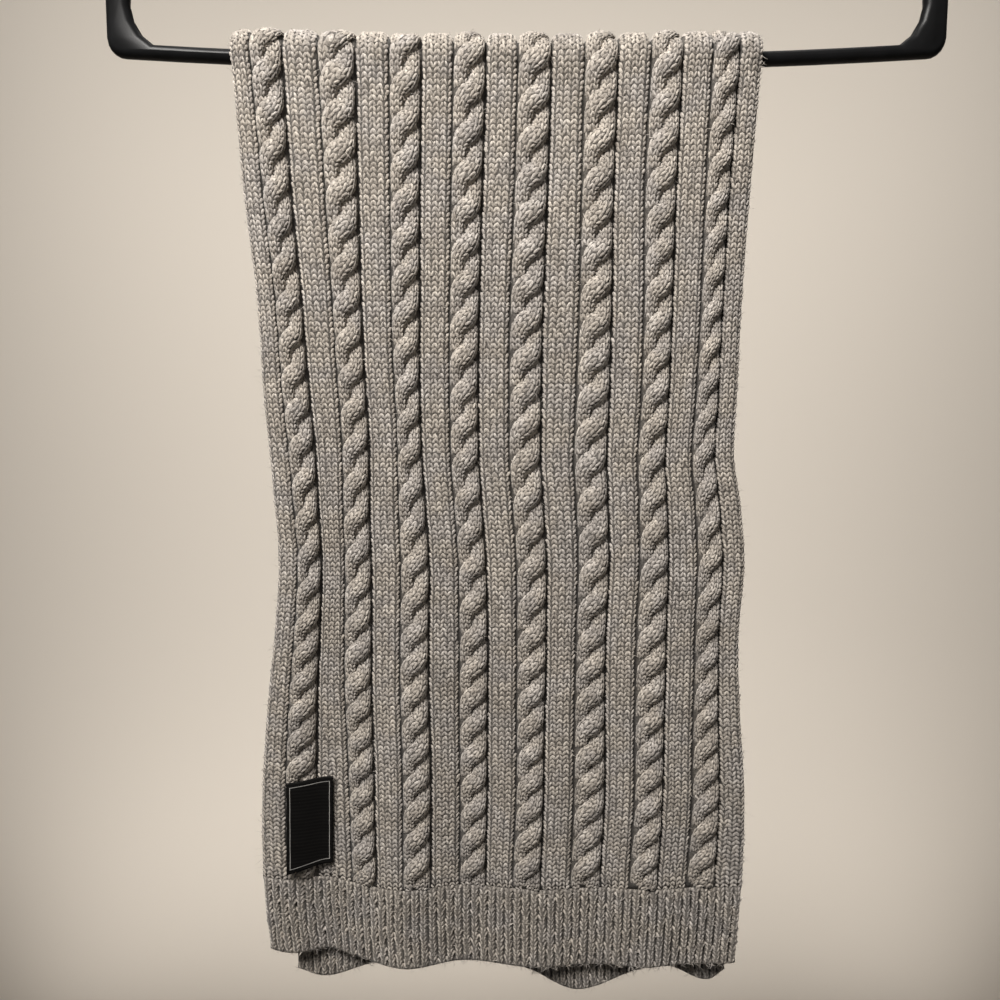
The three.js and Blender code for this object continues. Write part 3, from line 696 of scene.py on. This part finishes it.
# %% The two rib bands
RIBS = 57
RIB = SimpleNamespace(  # heights and lengths in mm, and the share of a rib that its wale fills
    crest=2.8, groove=0.8, edge=2.2, wale=0.94, fade=5.0, hem=2.5, first_row=0.6, last_row=1.2, longest=70
)
RIB_COLUMNS = 4  # of the ground, for each rib
RIB_PLACES = (0, 0.02, 0.045, 0.1, 0.18, 0.26, 0.35, 0.44, 0.53, 0.62, 0.71, 0.8, 0.87, 0.92, 0.96, 1)
SEAM_OVERLAP = 0.1
second_hem = smooth_table(SECOND_FOLDS, 2)
RIB_LEG = LEG.copy()  # a rib is pulled together, so its legs stand almost upright
RIB_LEG[:, 0] = 0.13, 0.02, 0.19, 0.36, 0.13, 0.30, 0.46, 0.37


def rib_height(off, below, above):
    """off is the place in a rib, from -0.5 in one furrow to 0.5 in the next. Furrows run out at both ends."""
    furrowed = lerp(RIB.crest, RIB.groove, smoothstep(np.abs(off), 0.28, 0.5))
    ends = smoothstep(below, 0, RIB.hem) * smoothstep(above, 0, RIB.fade)
    return lerp(RIB.edge, furrowed, ends)


def rib_band(name, place, hem, seam):
    across = np.repeat(np.linspace(0, 1, RIBS * RIB_COLUMNS + 1)[:, None], len(RIB_PLACES), axis=1)
    path = lerp(-hem(across), -seam - SEAM_OVERLAP + 0 * across, np.array(RIB_PLACES))
    height = rib_height((across * RIBS) % 1 - 0.5, path + hem(across), -seam - path)
    stitches = np.stack([across * RIBS, path / COURSE], -1)
    # Painted shade, darkest in the furrows between the ribs.
    shade = smoothstep(height, RIB.groove + 0.2, RIB.edge)
    return shell(name, place(across, path, height), place(across, path, 0 * across), stitches, shade)


def rib_place(point, hem, seam):
    """The rule that places a rib band's stitches on a layer: w in ribs, p the path and h the height."""

    def place(w, p, h):
        off = (w - np.floor(w) - 0.5) * RIB.wale
        across = (np.floor(w) + 0.5 + off) / RIBS
        return point(across, p, rib_height(off, p + hem(across), -seam - p) + h)

    return place


def rib_groups(point, hem, seam):
    rib, row = np.meshgrid(np.arange(RIBS), np.arange(int(RIB.longest / COURSE)), indexing="ij")
    rib, row = rib.ravel(), row.ravel()
    path = -hem((rib + 0.5) / RIBS) + RIB.first_row + row * COURSE
    inside = path < -seam - RIB.last_row
    return [(rib[inside] + 0.5, path[inside], rib_place(point, hem, seam))]


def front_hem(across):
    return FRONT_HEM + 0 * across


front_rib = rib_band("front_rib", outer_point, front_hem, FRONT_RIB)
second_rib = rib_band("second_rib", inner_point, second_hem, SECOND_RIB)
front_ribs = rib_groups(outer_point, front_hem, FRONT_RIB)
second_ribs = rib_groups(inner_point, second_hem, SECOND_RIB)
front_rib_stitches = lay_stitches("front_rib_stitches", front_ribs, 15, RIB_LEG)
second_rib_stitches = lay_stitches("second_rib_stitches", second_ribs, 16, RIB_LEG)

# %% [markdown]
# ## The inner layer
# The other half of the length hangs inside the drape, almost hidden. It shows only at the sides and from
# below, so it is one plain sheet, and its stitches are drawn by its material.

# %% The inner layer
INNER_GRID = SimpleNamespace(row=7.5, columns=45, wales=98, sunk=0.2)
inner_rows = path_rows(-SECOND_RIB, inner.turn + BACK_FOLD, INNER_GRID.row)
inner_across = np.linspace(0, 1, INNER_GRID.columns)[:, None] + 0 * inner_rows
inner_path = np.broadcast_to(inner_rows, inner_across.shape)
inner_length = shell(
    "inner_length",
    inner_point(inner_across, inner_path, INNER_THICK - INNER_GRID.sunk),
    inner_point(inner_across, inner_path, 0.0),
    np.stack([inner_across * INNER_GRID.wales, inner_path / COURSE], -1),
)

# %% [markdown]
# ## The label
# A black woven label is sewn on at the lower left, across a cable and half of a flat band. It follows the
# relief under it, so it is made on the same address as the cloth. It is plain black satin with a pale line
# near its rim.

# %% The woven label
LABEL = SimpleNamespace(width=25.5, height=53.0, thick=0.9, over_cable=5.8, over_band=4.4)
LABEL_FOOT = np.array([(-131.8, 425.1), (-106.7, 419.8)])  # x and drop at the left and at the right
LABEL_TOP = np.array([(-129.9, 370.7), (-104.9, 368.2)])
LABEL_GRID = 27, 55
PUCKER = SimpleNamespace(height=0.18, waves=23.0, slant=3)
label_share, label_up = np.meshgrid(*(np.linspace(0, 1, points) for points in LABEL_GRID), indexing="ij")


def label_face(lift):
    foot_x, foot_drop = (lerp(*LABEL_FOOT[:, axis], label_share) for axis in (0, 1))
    top_x, top_drop = (lerp(*LABEL_TOP[:, axis], label_share) for axis in (0, 1))
    x, drop = lerp(foot_x, top_x, label_up), lerp(foot_drop, top_drop, label_up)
    over = lerp(LABEL.over_cable, LABEL.over_band, smoothstep(label_share, 0.4, 0.9)) + lift
    wave = np.sin(label_up * PUCKER.waves + PUCKER.slant * label_share)
    pucker = PUCKER.height * wave * np.abs(label_share - 0.5) * 2
    left, right = outer.edges(-drop)
    return outer_point((x - left) / (right - left), -drop, over + pucker * (lift > 0))


label_map = np.stack([label_share, label_up], -1)
woven_label = shell("woven_label", label_face(LABEL.thick), label_face(0.0), label_map)

# %% [markdown]
# ## Loose fibres
# Wool is fuzzy: single fibres stand off the stitches and cross the channels. Each is a thin, bent blade of
# three triangles that starts on a stitch picked at random. More of them stand out from the side edges.


# %% Loose fibres
FIBRE = SimpleNamespace(  # the share of stitches that have one, and sizes in mm
    share=0.6, long=(1.8, 4.6), stand=(0.3, 1.9), half_width=0.09, wale=3.3, root=0.1
)
FIBRE_FACES = np.array([(0, 1, 3), (0, 3, 2), (2, 3, 4)])
FIBRE_CORNERS = np.array([
    (0, 0), (1, 0), (1, 0.6), (0, 0), (1, 0.6), (0, 0.6), (0, 0.6), (1, 0.6), (0.5, 1),
])
EDGE_FIBRES = SimpleNamespace(row=0.8, rib=0.14, first_rib=0.1, in_from_side=0.2, in_from_hem=0.4)


def lay_fibres(name, groups, seed):
    random = np.random.default_rng(seed)
    along = np.array([0, 0, 0.5, 0.5, 1.0])
    broad = np.array([-1, 1, -0.8, 0.8, 0]) * FIBRE.half_width
    points, count = [], 0
    for wale, path, place in groups:
        picked = random.uniform(size=len(wale)) < FIBRE.share
        w, p = wale[picked][:, None], path[picked][:, None]
        number = len(w)
        turn = random.uniform(0, 2 * math.pi, (number, 1))
        reach = random.uniform(*FIBRE.long, (number, 1))
        stand = random.uniform(*FIBRE.stand, (number, 1))
        bend = turn + random.uniform(-1, 1, (number, 1))
        w = w + random.uniform(-0.4, 0.4, (number, 1))
        w = w + (along * reach * np.cos(lerp(turn, bend, along)) - broad * np.sin(turn)) / FIBRE.wale
        p = p + along * reach * np.sin(lerp(turn, bend, along)) + broad * np.cos(turn)
        points.append(place(w, p, FIBRE.root + stand * along * (2 - along) + 0 * w).reshape(-1, 3))
        count += number
    corners = len(along)
    faces = (FIBRE_FACES[None] + corners * np.arange(count)[:, None, None]).reshape(-1, 3)
    tones = np.repeat(random.uniform(0.4, 1, count), corners)
    return make_mesh(name, np.concatenate(points), faces, {"OFBake": cell_map(count, FIBRE_CORNERS)}, tones)


def edge_groups(start, end, point, hem):
    """Extra places for fibres along both sides of a layer and along its hem."""
    rows = np.arange(start, end, EDGE_FIBRES.row)
    ribs = np.arange(EDGE_FIBRES.first_rib, RIBS, EDGE_FIBRES.rib)
    last_wale = WALES["border"] - EDGE_FIBRES.in_from_side
    sides = [(EDGE_FIBRES.in_from_side, 0), (last_wale, CABLES)]
    groups = [(np.full(len(rows), wale), rows, band_place(band)) for wale, band in sides]
    hem_path = -hem(ribs / RIBS) + EDGE_FIBRES.in_from_hem
    return groups + [(ribs, hem_path, rib_place(point, hem, 0))]


def fibre_groups(start, end, ribs, edges):
    return band_groups(start, end) + cable_groups(start, end, every_cable) + ribs + edges


front_edges = edge_groups(-FRONT_RIB, TOP, outer_point, front_hem)
back_edges = edge_groups(TOP, FOLD_FROM, inner_point, second_hem)
front_fibres = lay_fibres("front_fibres", fibre_groups(-FRONT_RIB, TOP, front_ribs, front_edges), 17)
back_fibres = lay_fibres("back_fibres", fibre_groups(TOP, FOLD_TO, second_ribs, back_edges), 18)

# %% [markdown]
# ## The hanger
# The hanger is one dull black moulding. The solid model has its exact shape in flat facets, so a copy is
# merged and shaded smooth, except across its true edges.

# %% The hanger
MERGE_GAP = 0.00002
TRUE_EDGE = 38  # degrees between two faces that meet in a real edge
bpy.ops.object.select_all(action="DESELECT")
cad_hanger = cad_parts["hanger"]
hanger = cad_hanger.copy()
hanger.data = cad_hanger.data.copy()
hanger.name = hanger.data.name = "hanger_moulding"
bpy.context.scene.collection.objects.link(hanger)
hanger.parent = None
hanger.matrix_world = cad_hanger.matrix_world
for key in list(hanger.keys()):
    if key.startswith("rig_"):
        del hanger[key]
bpy.context.view_layer.objects.active = hanger
hanger.select_set(True)
bpy.ops.object.mode_set(mode="EDIT")
bpy.ops.mesh.select_all(action="SELECT")
bpy.ops.mesh.remove_doubles(threshold=MERGE_GAP)
bpy.ops.object.mode_set(mode="OBJECT")
bpy.ops.object.shade_smooth_by_angle(angle=math.radians(TRUE_EDGE))
print("hanger:", len(hanger.data.polygons), "faces")


# %% [markdown]
# ## The wool
# Marled wool is spun from light and dark fibres, so its colour changes from stitch to stitch and along the
# yarn. One shader group makes that colour, from noises of several sizes and each stitch's own tone, and
# every wool material uses it with its own depth.


# %% The marl of the wool, shared by all wool materials
def add_node(tree, kind, **values):
    """Adds a node. A name that starts with in_ is one of its inputs, and any other is a setting."""
    node = tree.nodes.new(kind)
    for name, value in values.items():
        if name.startswith("in_"):
            node.inputs[name[3:].replace("_", " ")].default_value = value
        else:
            setattr(node, name, value)
    return node


def math_node(tree, operation, a, b=None, clamp=False):
    node = tree.nodes.new("ShaderNodeMath")
    node.operation, node.use_clamp = operation, clamp
    for socket, value in zip(node.inputs, (a, b)):
        if value is None:
            continue
        if isinstance(value, (int, float)):
            socket.default_value = value
        else:
            tree.links.new(value, socket)
    return node.outputs[0]


def mix_colour(tree, share, a, b, blend="MIX"):
    node = tree.nodes.new("ShaderNodeMix")
    node.data_type, node.blend_type = "RGBA", blend
    for socket, value in ((node.inputs[0], share), (node.inputs[6], a), (node.inputs[7], b)):
        if isinstance(value, bpy.types.NodeSocket):
            tree.links.new(value, socket)
        else:
            socket.default_value = value
    return node.outputs[2]


def new_group(name, inputs, outputs):
    group = bpy.data.node_groups.new(name, "ShaderNodeTree")
    for label, kind, value in inputs:
        socket = group.interface.new_socket(name=label, in_out="INPUT", socket_type=kind)
        socket.default_value = value
    for label, kind in outputs:
        group.interface.new_socket(name=label, in_out="OUTPUT", socket_type=kind)
    return group, group.nodes.new("NodeGroupInput"), group.nodes.new("NodeGroupOutput")


marl, marl_in, marl_out = new_group(
    "Marled wool",
    [("Tone", "NodeSocketFloat", 0.5), ("Depth", "NodeSocketFloat", 1.0)],
    [("Color", "NodeSocketColor"), ("Fibre", "NodeSocketFloat")],
)
marl_place = add_node(marl, "ShaderNodeTexCoord").outputs["Object"]


def noise(tree, scale, detail, vector, roughness=0.6):
    node = add_node(tree, "ShaderNodeTexNoise", in_Scale=scale, in_Detail=detail, in_Roughness=roughness)
    tree.links.new(vector, node.inputs["Vector"])
    return node.outputs["Fac"]


yarn = noise(marl, 850.0, 3.0, marl_place)
heather = noise(marl, 95.0, 2.0, marl_place)
fibre = noise(marl, 3200.0, 2.0, marl_place)
SHARES = SimpleNamespace(yarn=1.1, tone=0.25, heather=0.35, all=0.76)
from_yarn = math_node(marl, "MULTIPLY", yarn, SHARES.yarn)
from_tone = math_node(marl, "MULTIPLY", marl_in.outputs["Tone"], SHARES.tone)
from_heather = math_node(marl, "MULTIPLY", heather, SHARES.heather)
mixed = math_node(marl, "ADD", math_node(marl, "ADD", from_yarn, from_tone), from_heather)
ramp = add_node(marl, "ShaderNodeValToRGB")
stops = ramp.color_ramp
stops.elements[0].position, stops.elements[0].color = 0.35, (0.17, 0.150, 0.132, 1)
stops.elements[1].position, stops.elements[1].color = 0.85, (0.78, 0.715, 0.64, 1)
middle = stops.elements.new(0.62)
middle.color = (0.46, 0.415, 0.37, 1)
marl.links.new(math_node(marl, "MULTIPLY", mixed, SHARES.all), ramp.inputs[0])
patch = add_node(marl, "ShaderNodeMapRange", in_From_Min=0.42, in_From_Max=0.62)
marl.links.new(noise(marl, 55.0, 2.0, marl_place), patch.inputs["Value"])
tint = mix_colour(marl, patch.outputs[0], (1.01, 1.0, 0.98, 1), (0.98, 0.99, 1.02, 1))
tinted = mix_colour(marl, 1.0, ramp.outputs[0], tint, "MULTIPLY")
# Depth dims the colour: the ground, strand and rib wools set it low as painted shade, since they lie among
# the stitches.
painted_depth_shade = add_node(marl, "ShaderNodeHueSaturation")
marl.links.new(tinted, painted_depth_shade.inputs["Color"])
marl.links.new(marl_in.outputs["Depth"], painted_depth_shade.inputs["Value"])
marl.links.new(painted_depth_shade.outputs[0], marl_out.inputs["Color"])
marl.links.new(fibre, marl_out.inputs["Fibre"])
print("nodes in the marl:", len(marl.nodes))


# %% [markdown]
# ## The stitch pattern for plain sheets
# Where the stitches are too deep inside to be worth modelling, the material draws them. The UV map counts
# stitches, so the part after the decimal point says where in a stitch a point is, and rows that lean both
# ways from its middle make the V.

# %% A drawn stitch, shared by the sheets
drawn, _, drawn_out = new_group("Drawn stitches", [], [("Leg", "NodeSocketFloat")])
knit_map = add_node(drawn, "ShaderNodeUVMap", uv_map="Knit").outputs[0]
split = add_node(drawn, "ShaderNodeSeparateXYZ")
drawn.links.new(knit_map, split.inputs[0])
DRAWN = SimpleNamespace(lean=2.2, row=1.8, flank=3.2)


def distance_from(tree, value, middle):
    return math_node(tree, "ABSOLUTE", math_node(tree, "SUBTRACT", value, middle))


def fade_from_one(tree, value, speed):
    return math_node(tree, "SUBTRACT", 1.0, math_node(tree, "MULTIPLY", value, speed))


from_middle = distance_from(drawn, math_node(drawn, "FRACT", split.outputs[0]), 0.5)
lean = math_node(drawn, "SUBTRACT", split.outputs[1], math_node(drawn, "MULTIPLY", from_middle, DRAWN.lean))
ridge = fade_from_one(drawn, distance_from(drawn, math_node(drawn, "FRACT", lean), 0.5), DRAWN.row)
flank = fade_from_one(drawn, distance_from(drawn, from_middle, 0.25), DRAWN.flank)
drawn.links.new(math_node(drawn, "MULTIPLY", ridge, flank, True), drawn_out.inputs["Leg"])
print("nodes in the drawn stitches:", len(drawn.nodes))


# %% [markdown]
# ## The materials
# Wool scatters light softly, so it is rough with a little sheen. The ground is the same wool, darker, as
# it lies in the shade of the stitches. Sheen and roughness are the same all over, so they are set straight
# on the shader.


# %% Wool materials
def shader_of(material):
    return next(n for n in material.node_tree.nodes if n.type == "BSDF_PRINCIPLED")


def wool(name, depth, legs=False, tone=None, deepest_shade=None):
    """depth is the wool's brightness, and the deepest painted shade is that of the ground at the bottom of a
    channel.
    """
    material = bpy.data.materials.new(name)
    material.use_nodes = True
    tree, shader = material.node_tree, shader_of(material)
    group = tree.nodes.new("ShaderNodeGroup")
    group.node_tree = marl
    group.inputs["Depth"].default_value = depth
    if deepest_shade is not None:
        # A sheet's tone attribute is its painted shade, which dims its wool down to the deepest shade in its
        # channels.
        attribute = add_node(tree, "ShaderNodeAttribute", attribute_name="tone")
        span = add_node(tree, "ShaderNodeMapRange", in_To_Min=deepest_shade, in_To_Max=depth)
        tree.links.new(attribute.outputs["Fac"], span.inputs["Value"])
        tree.links.new(span.outputs[0], group.inputs["Depth"])
    if tone:
        attribute = add_node(tree, "ShaderNodeAttribute", attribute_name=tone)
        tree.links.new(attribute.outputs["Fac"], group.inputs["Tone"])
    colour, relief = group.outputs["Color"], group.outputs["Fibre"]
    if legs:
        pattern = tree.nodes.new("ShaderNodeGroup")
        pattern.node_tree = drawn
        # Painted shade in the gaps between the drawn legs.
        dark = mix_colour(tree, 1.0, colour, (0.22, 0.20, 0.18, 1), "MULTIPLY")
        colour = mix_colour(tree, pattern.outputs["Leg"], dark, colour)
        relief = math_node(tree, "ADD", math_node(tree, "MULTIPLY", relief, 0.2), pattern.outputs["Leg"])
    bump = add_node(tree, "ShaderNodeBump", in_Strength=0.6, in_Distance=0.0009 if legs else 0.0003)
    tree.links.new(relief, bump.inputs["Height"])
    tree.links.new(bump.outputs[0], shader.inputs["Normal"])
    tree.links.new(colour, shader.inputs["Base Color"])
    shader.inputs["Roughness"].default_value = 0.95
    shader.inputs["Specular IOR Level"].default_value = 0.15
    shader.inputs["Sheen Weight"].default_value = 0.25
    shader.inputs["Sheen Roughness"].default_value = 0.5
    return material


stitch_wool = wool("stitch_wool", 1.0, tone="tone")
# The ground, the strands and the ribs' ground lie among the stitches, so their lower depth is painted shade.
ground_wool = wool("ground_wool", 0.26, deepest_shade=0.07)
strand_wool = wool("strand_wool", 0.34)
rib_wool = wool("rib_wool", 0.40, deepest_shade=0.12)
inner_wool = wool("inner_wool", 0.85, legs=True)
print("wool materials:", sum(material.name.endswith("wool") for material in bpy.data.materials))

# %% [markdown]
# ## Black satin
# The label is woven so finely that only a faint grid shows. Its pale line is drawn on its own map, where
# both numbers run from 0 to 1, so that it keeps its distance from the rim as the label bends.

# %% The label's satin
BORDER = SimpleNamespace(in_from_side=2.0, in_from_end=2.7, half=0.24)
satin = bpy.data.materials.new("label_satin")
satin.use_nodes = True
tree, shader = satin.node_tree, shader_of(satin)
label_uv = add_node(tree, "ShaderNodeUVMap", uv_map="Knit").outputs[0]
label_split = add_node(tree, "ShaderNodeSeparateXYZ")
tree.links.new(label_uv, label_split.inputs[0])


def line_at(tree, value, size, inset):
    """1 on two lines, each an inset in mm from the rim of a side of this size, and 1 between them."""
    to_middle = math_node(tree, "SUBTRACT", 0.5, distance_from(tree, value, 0.5))
    from_rim = math_node(tree, "MULTIPLY", to_middle, size)
    off = math_node(tree, "DIVIDE", distance_from(tree, from_rim, inset), BORDER.half)
    on_line = math_node(tree, "SUBTRACT", 1.0, off, True)
    return on_line, math_node(tree, "GREATER_THAN", from_rim, inset - BORDER.half)


side_line, within_sides = line_at(tree, label_split.outputs[0], LABEL.width, BORDER.in_from_side)
end_line, within_ends = line_at(tree, label_split.outputs[1], LABEL.height, BORDER.in_from_end)
side_line = math_node(tree, "MULTIPLY", side_line, within_ends)
end_line = math_node(tree, "MULTIPLY", end_line, within_sides)
border = math_node(tree, "MAXIMUM", side_line, end_line)
threads = add_node(tree, "ShaderNodeTexWave", in_Scale=160.0, in_Distortion=0.6)
threads.bands_direction = "Z"
tree.links.new(add_node(tree, "ShaderNodeTexCoord").outputs["Object"], threads.inputs["Vector"])
black = mix_colour(tree, threads.outputs["Fac"], (0.0045, 0.004, 0.004, 1), (0.009, 0.0085, 0.008, 1))
tree.links.new(mix_colour(tree, border, black, (0.66, 0.64, 0.61, 1)), shader.inputs["Base Color"])
bump = add_node(tree, "ShaderNodeBump", in_Strength=0.25, in_Distance=0.0002)
tree.links.new(threads.outputs["Fac"], bump.inputs["Height"])
tree.links.new(bump.outputs[0], shader.inputs["Normal"])
shader.inputs["Roughness"].default_value = 0.75
shader.inputs["Specular IOR Level"].default_value = 0.12

print("nodes in the satin:", len(tree.nodes))

# %% [markdown]
# ## Black plastic
# The hanger is moulded plastic, smooth but dull, so only its edges catch the light. A very faint grain in
# its colour and in its dullness keeps it from looking like paint.

# %% The hanger's plastic
plastic = bpy.data.materials.new("black_plastic")
plastic.use_nodes = True
tree, shader = plastic.node_tree, shader_of(plastic)
grain = noise(tree, 90.0, 3.0, add_node(tree, "ShaderNodeTexCoord").outputs["Object"])
moulded_black = mix_colour(tree, grain, (0.006, 0.006, 0.006, 1), (0.014, 0.014, 0.015, 1))
tree.links.new(moulded_black, shader.inputs["Base Color"])
dullness = math_node(tree, "ADD", math_node(tree, "MULTIPLY", grain, 0.08), 0.30)
tree.links.new(dullness, shader.inputs["Roughness"])
shader.inputs["Specular IOR Level"].default_value = 0.16
print("nodes in the plastic:", len(tree.nodes))

# %% [markdown]
# ## Dress every piece
# Each piece now gets its material and is set to ride on the object's one body, and the solids that the pieces
# replace are hidden.


# %% Materials, the body and the hidden solids
def dress(piece, material, slot, *nodes):
    piece.data.materials.clear()
    piece.data.materials.append(material)
    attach(piece, "root")
    if nodes:
        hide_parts(*nodes)


dress(scarf_length, ground_wool, "knit", "front_end", "bar_wrap_outer", "back_length", "back_fold")
dress(cable_strands, strand_wool, "knit")
stitch_pieces = [front_flat_stitches, back_flat_stitches, front_cable_stitches, back_cable_stitches]
for piece in stitch_pieces + [front_fibres, back_fibres]:
    dress(piece, stitch_wool, "knit")
dress(front_rib, rib_wool, "knit", "front_end_rib")
dress(second_rib, rib_wool, "knit", "second_end_rib")
dress(front_rib_stitches, stitch_wool, "knit")
dress(second_rib_stitches, stitch_wool, "knit")
dress(inner_length, inner_wool, "knit", "second_end", "bar_wrap_inner", "back_inner_length")
dress(woven_label, satin, "label", "label")
dress(hanger, plastic, "hanger_plastic", "hanger")

# %% [markdown]
# ## The wall and the floor
# The scarf hangs in front of a plain warm wall. A large plane behind it and one well below it, both pale
# and dull, give the wall its colour and catch the shadows. They belong to the studio, not to the scarf.


# %% Wall and floor
def plane(name, size, location, rotation, colour):
    bpy.ops.object.select_all(action="DESELECT")
    bpy.ops.mesh.primitive_plane_add(size=size, location=location, rotation=rotation)
    board = bpy.context.object
    board.name = board.data.name = name
    material = bpy.data.materials.new(name + "_paint")
    material.use_nodes = True
    shader_of(material).inputs["Base Color"].default_value = colour
    shader_of(material).inputs["Roughness"].default_value = 0.9
    board.data.materials.append(material)
    return board


PAINT = (0.72, 0.66, 0.585, 1)
STUDIO = SimpleNamespace(size=7.0, wall_y=1.25, floor_z=-2.6)
plane("wall", STUDIO.size, (0, STUDIO.wall_y, 0), (math.radians(90), 0, 0), PAINT)
plane("floor", STUDIO.size, (0, 0, STUDIO.floor_z), (0, 0, 0), PAINT)
print("metres from the bar to the wall:", STUDIO.wall_y)


# %% [markdown]
# ## The lamps
# One small soft lamp above, in front and a little to the left gives the cables their shadows, and its light
# falls off towards the hem. A large, weak one at the right fills the shadows. Two wide lamps behind the
# scarf light the wall: in front of it they would wash out the top of the cloth.


# %% Light
def area_light(name, location, aim, size, power, colour=(1, 1, 1), spread=180, width=None):
    light = bpy.data.lights.new(name, "AREA")
    light.shape, light.size, light.size_y = "RECTANGLE", width or size, size
    light.energy, light.color, light.spread = power, colour, math.radians(spread)
    lamp = bpy.data.objects.new(name, light)
    bpy.context.scene.collection.objects.link(lamp)
    lamp.location = location
    dx, dy, dz = np.array(aim, float) - np.array(location, float)
    lamp.rotation_euler = (math.atan2(math.hypot(dx, dy), -dz), 0, -math.atan2(dx, dy))
    return lamp


WARM, PALE = (1.0, 0.97, 0.93), (1.0, 0.98, 0.96)
area_light("key", (-0.34, -0.62, 0.46), aim=(0, 0, -0.36), size=0.36, power=16.5, colour=WARM)
area_light("fill", (0.9, -1.6, -0.1), aim=(0, 0, -0.4), size=1.6, power=0.5, colour=PALE)
area_light(
    "wall_light", (0.0, 0.55, 0.75), aim=(0, 1.25, -1.2), size=1.0, power=12.0, colour=WARM,
    spread=100, width=2.4,
)
area_light(
    "low_wall_light", (0.0, 0.70, -2.0), aim=(0, 1.25, -0.8), size=0.7, power=8.0, colour=WARM,
    spread=90, width=2.4,
)
world = bpy.data.worlds.new("studio")
world.use_nodes = True
background = world.node_tree.nodes["Background"]
background.inputs["Color"].default_value = (1.0, 0.98, 0.95, 1)
background.inputs["Strength"].default_value = 0.05
bpy.context.scene.world = world
print("lamps:", len(bpy.data.lights))

# %% [markdown]
# ## The camera
# The photograph was taken from close by, a little below the bar, with a wide lens that looks slightly
# down. A camera at that distance makes the top of the scarf look larger than its hem, as in the photograph.

# %% Camera
CAMERA = SimpleNamespace(lens=27.04, place=(-0.0129, -0.397, -0.3344), tilt=80.6)
lens = bpy.data.cameras.new("camera")
lens.lens, lens.sensor_width = CAMERA.lens, 36.0
camera = bpy.data.objects.new("camera", lens)
camera.location = CAMERA.place
camera.rotation_euler = (math.radians(CAMERA.tilt), 0, 0)
lens.clip_start, lens.clip_end = 0.01, 20.0
bpy.context.scene.collection.objects.link(camera)
bpy.context.scene.camera = camera
bpy.context.scene.view_settings.view_transform = "Standard"
print("lens in mm:", CAMERA.lens)
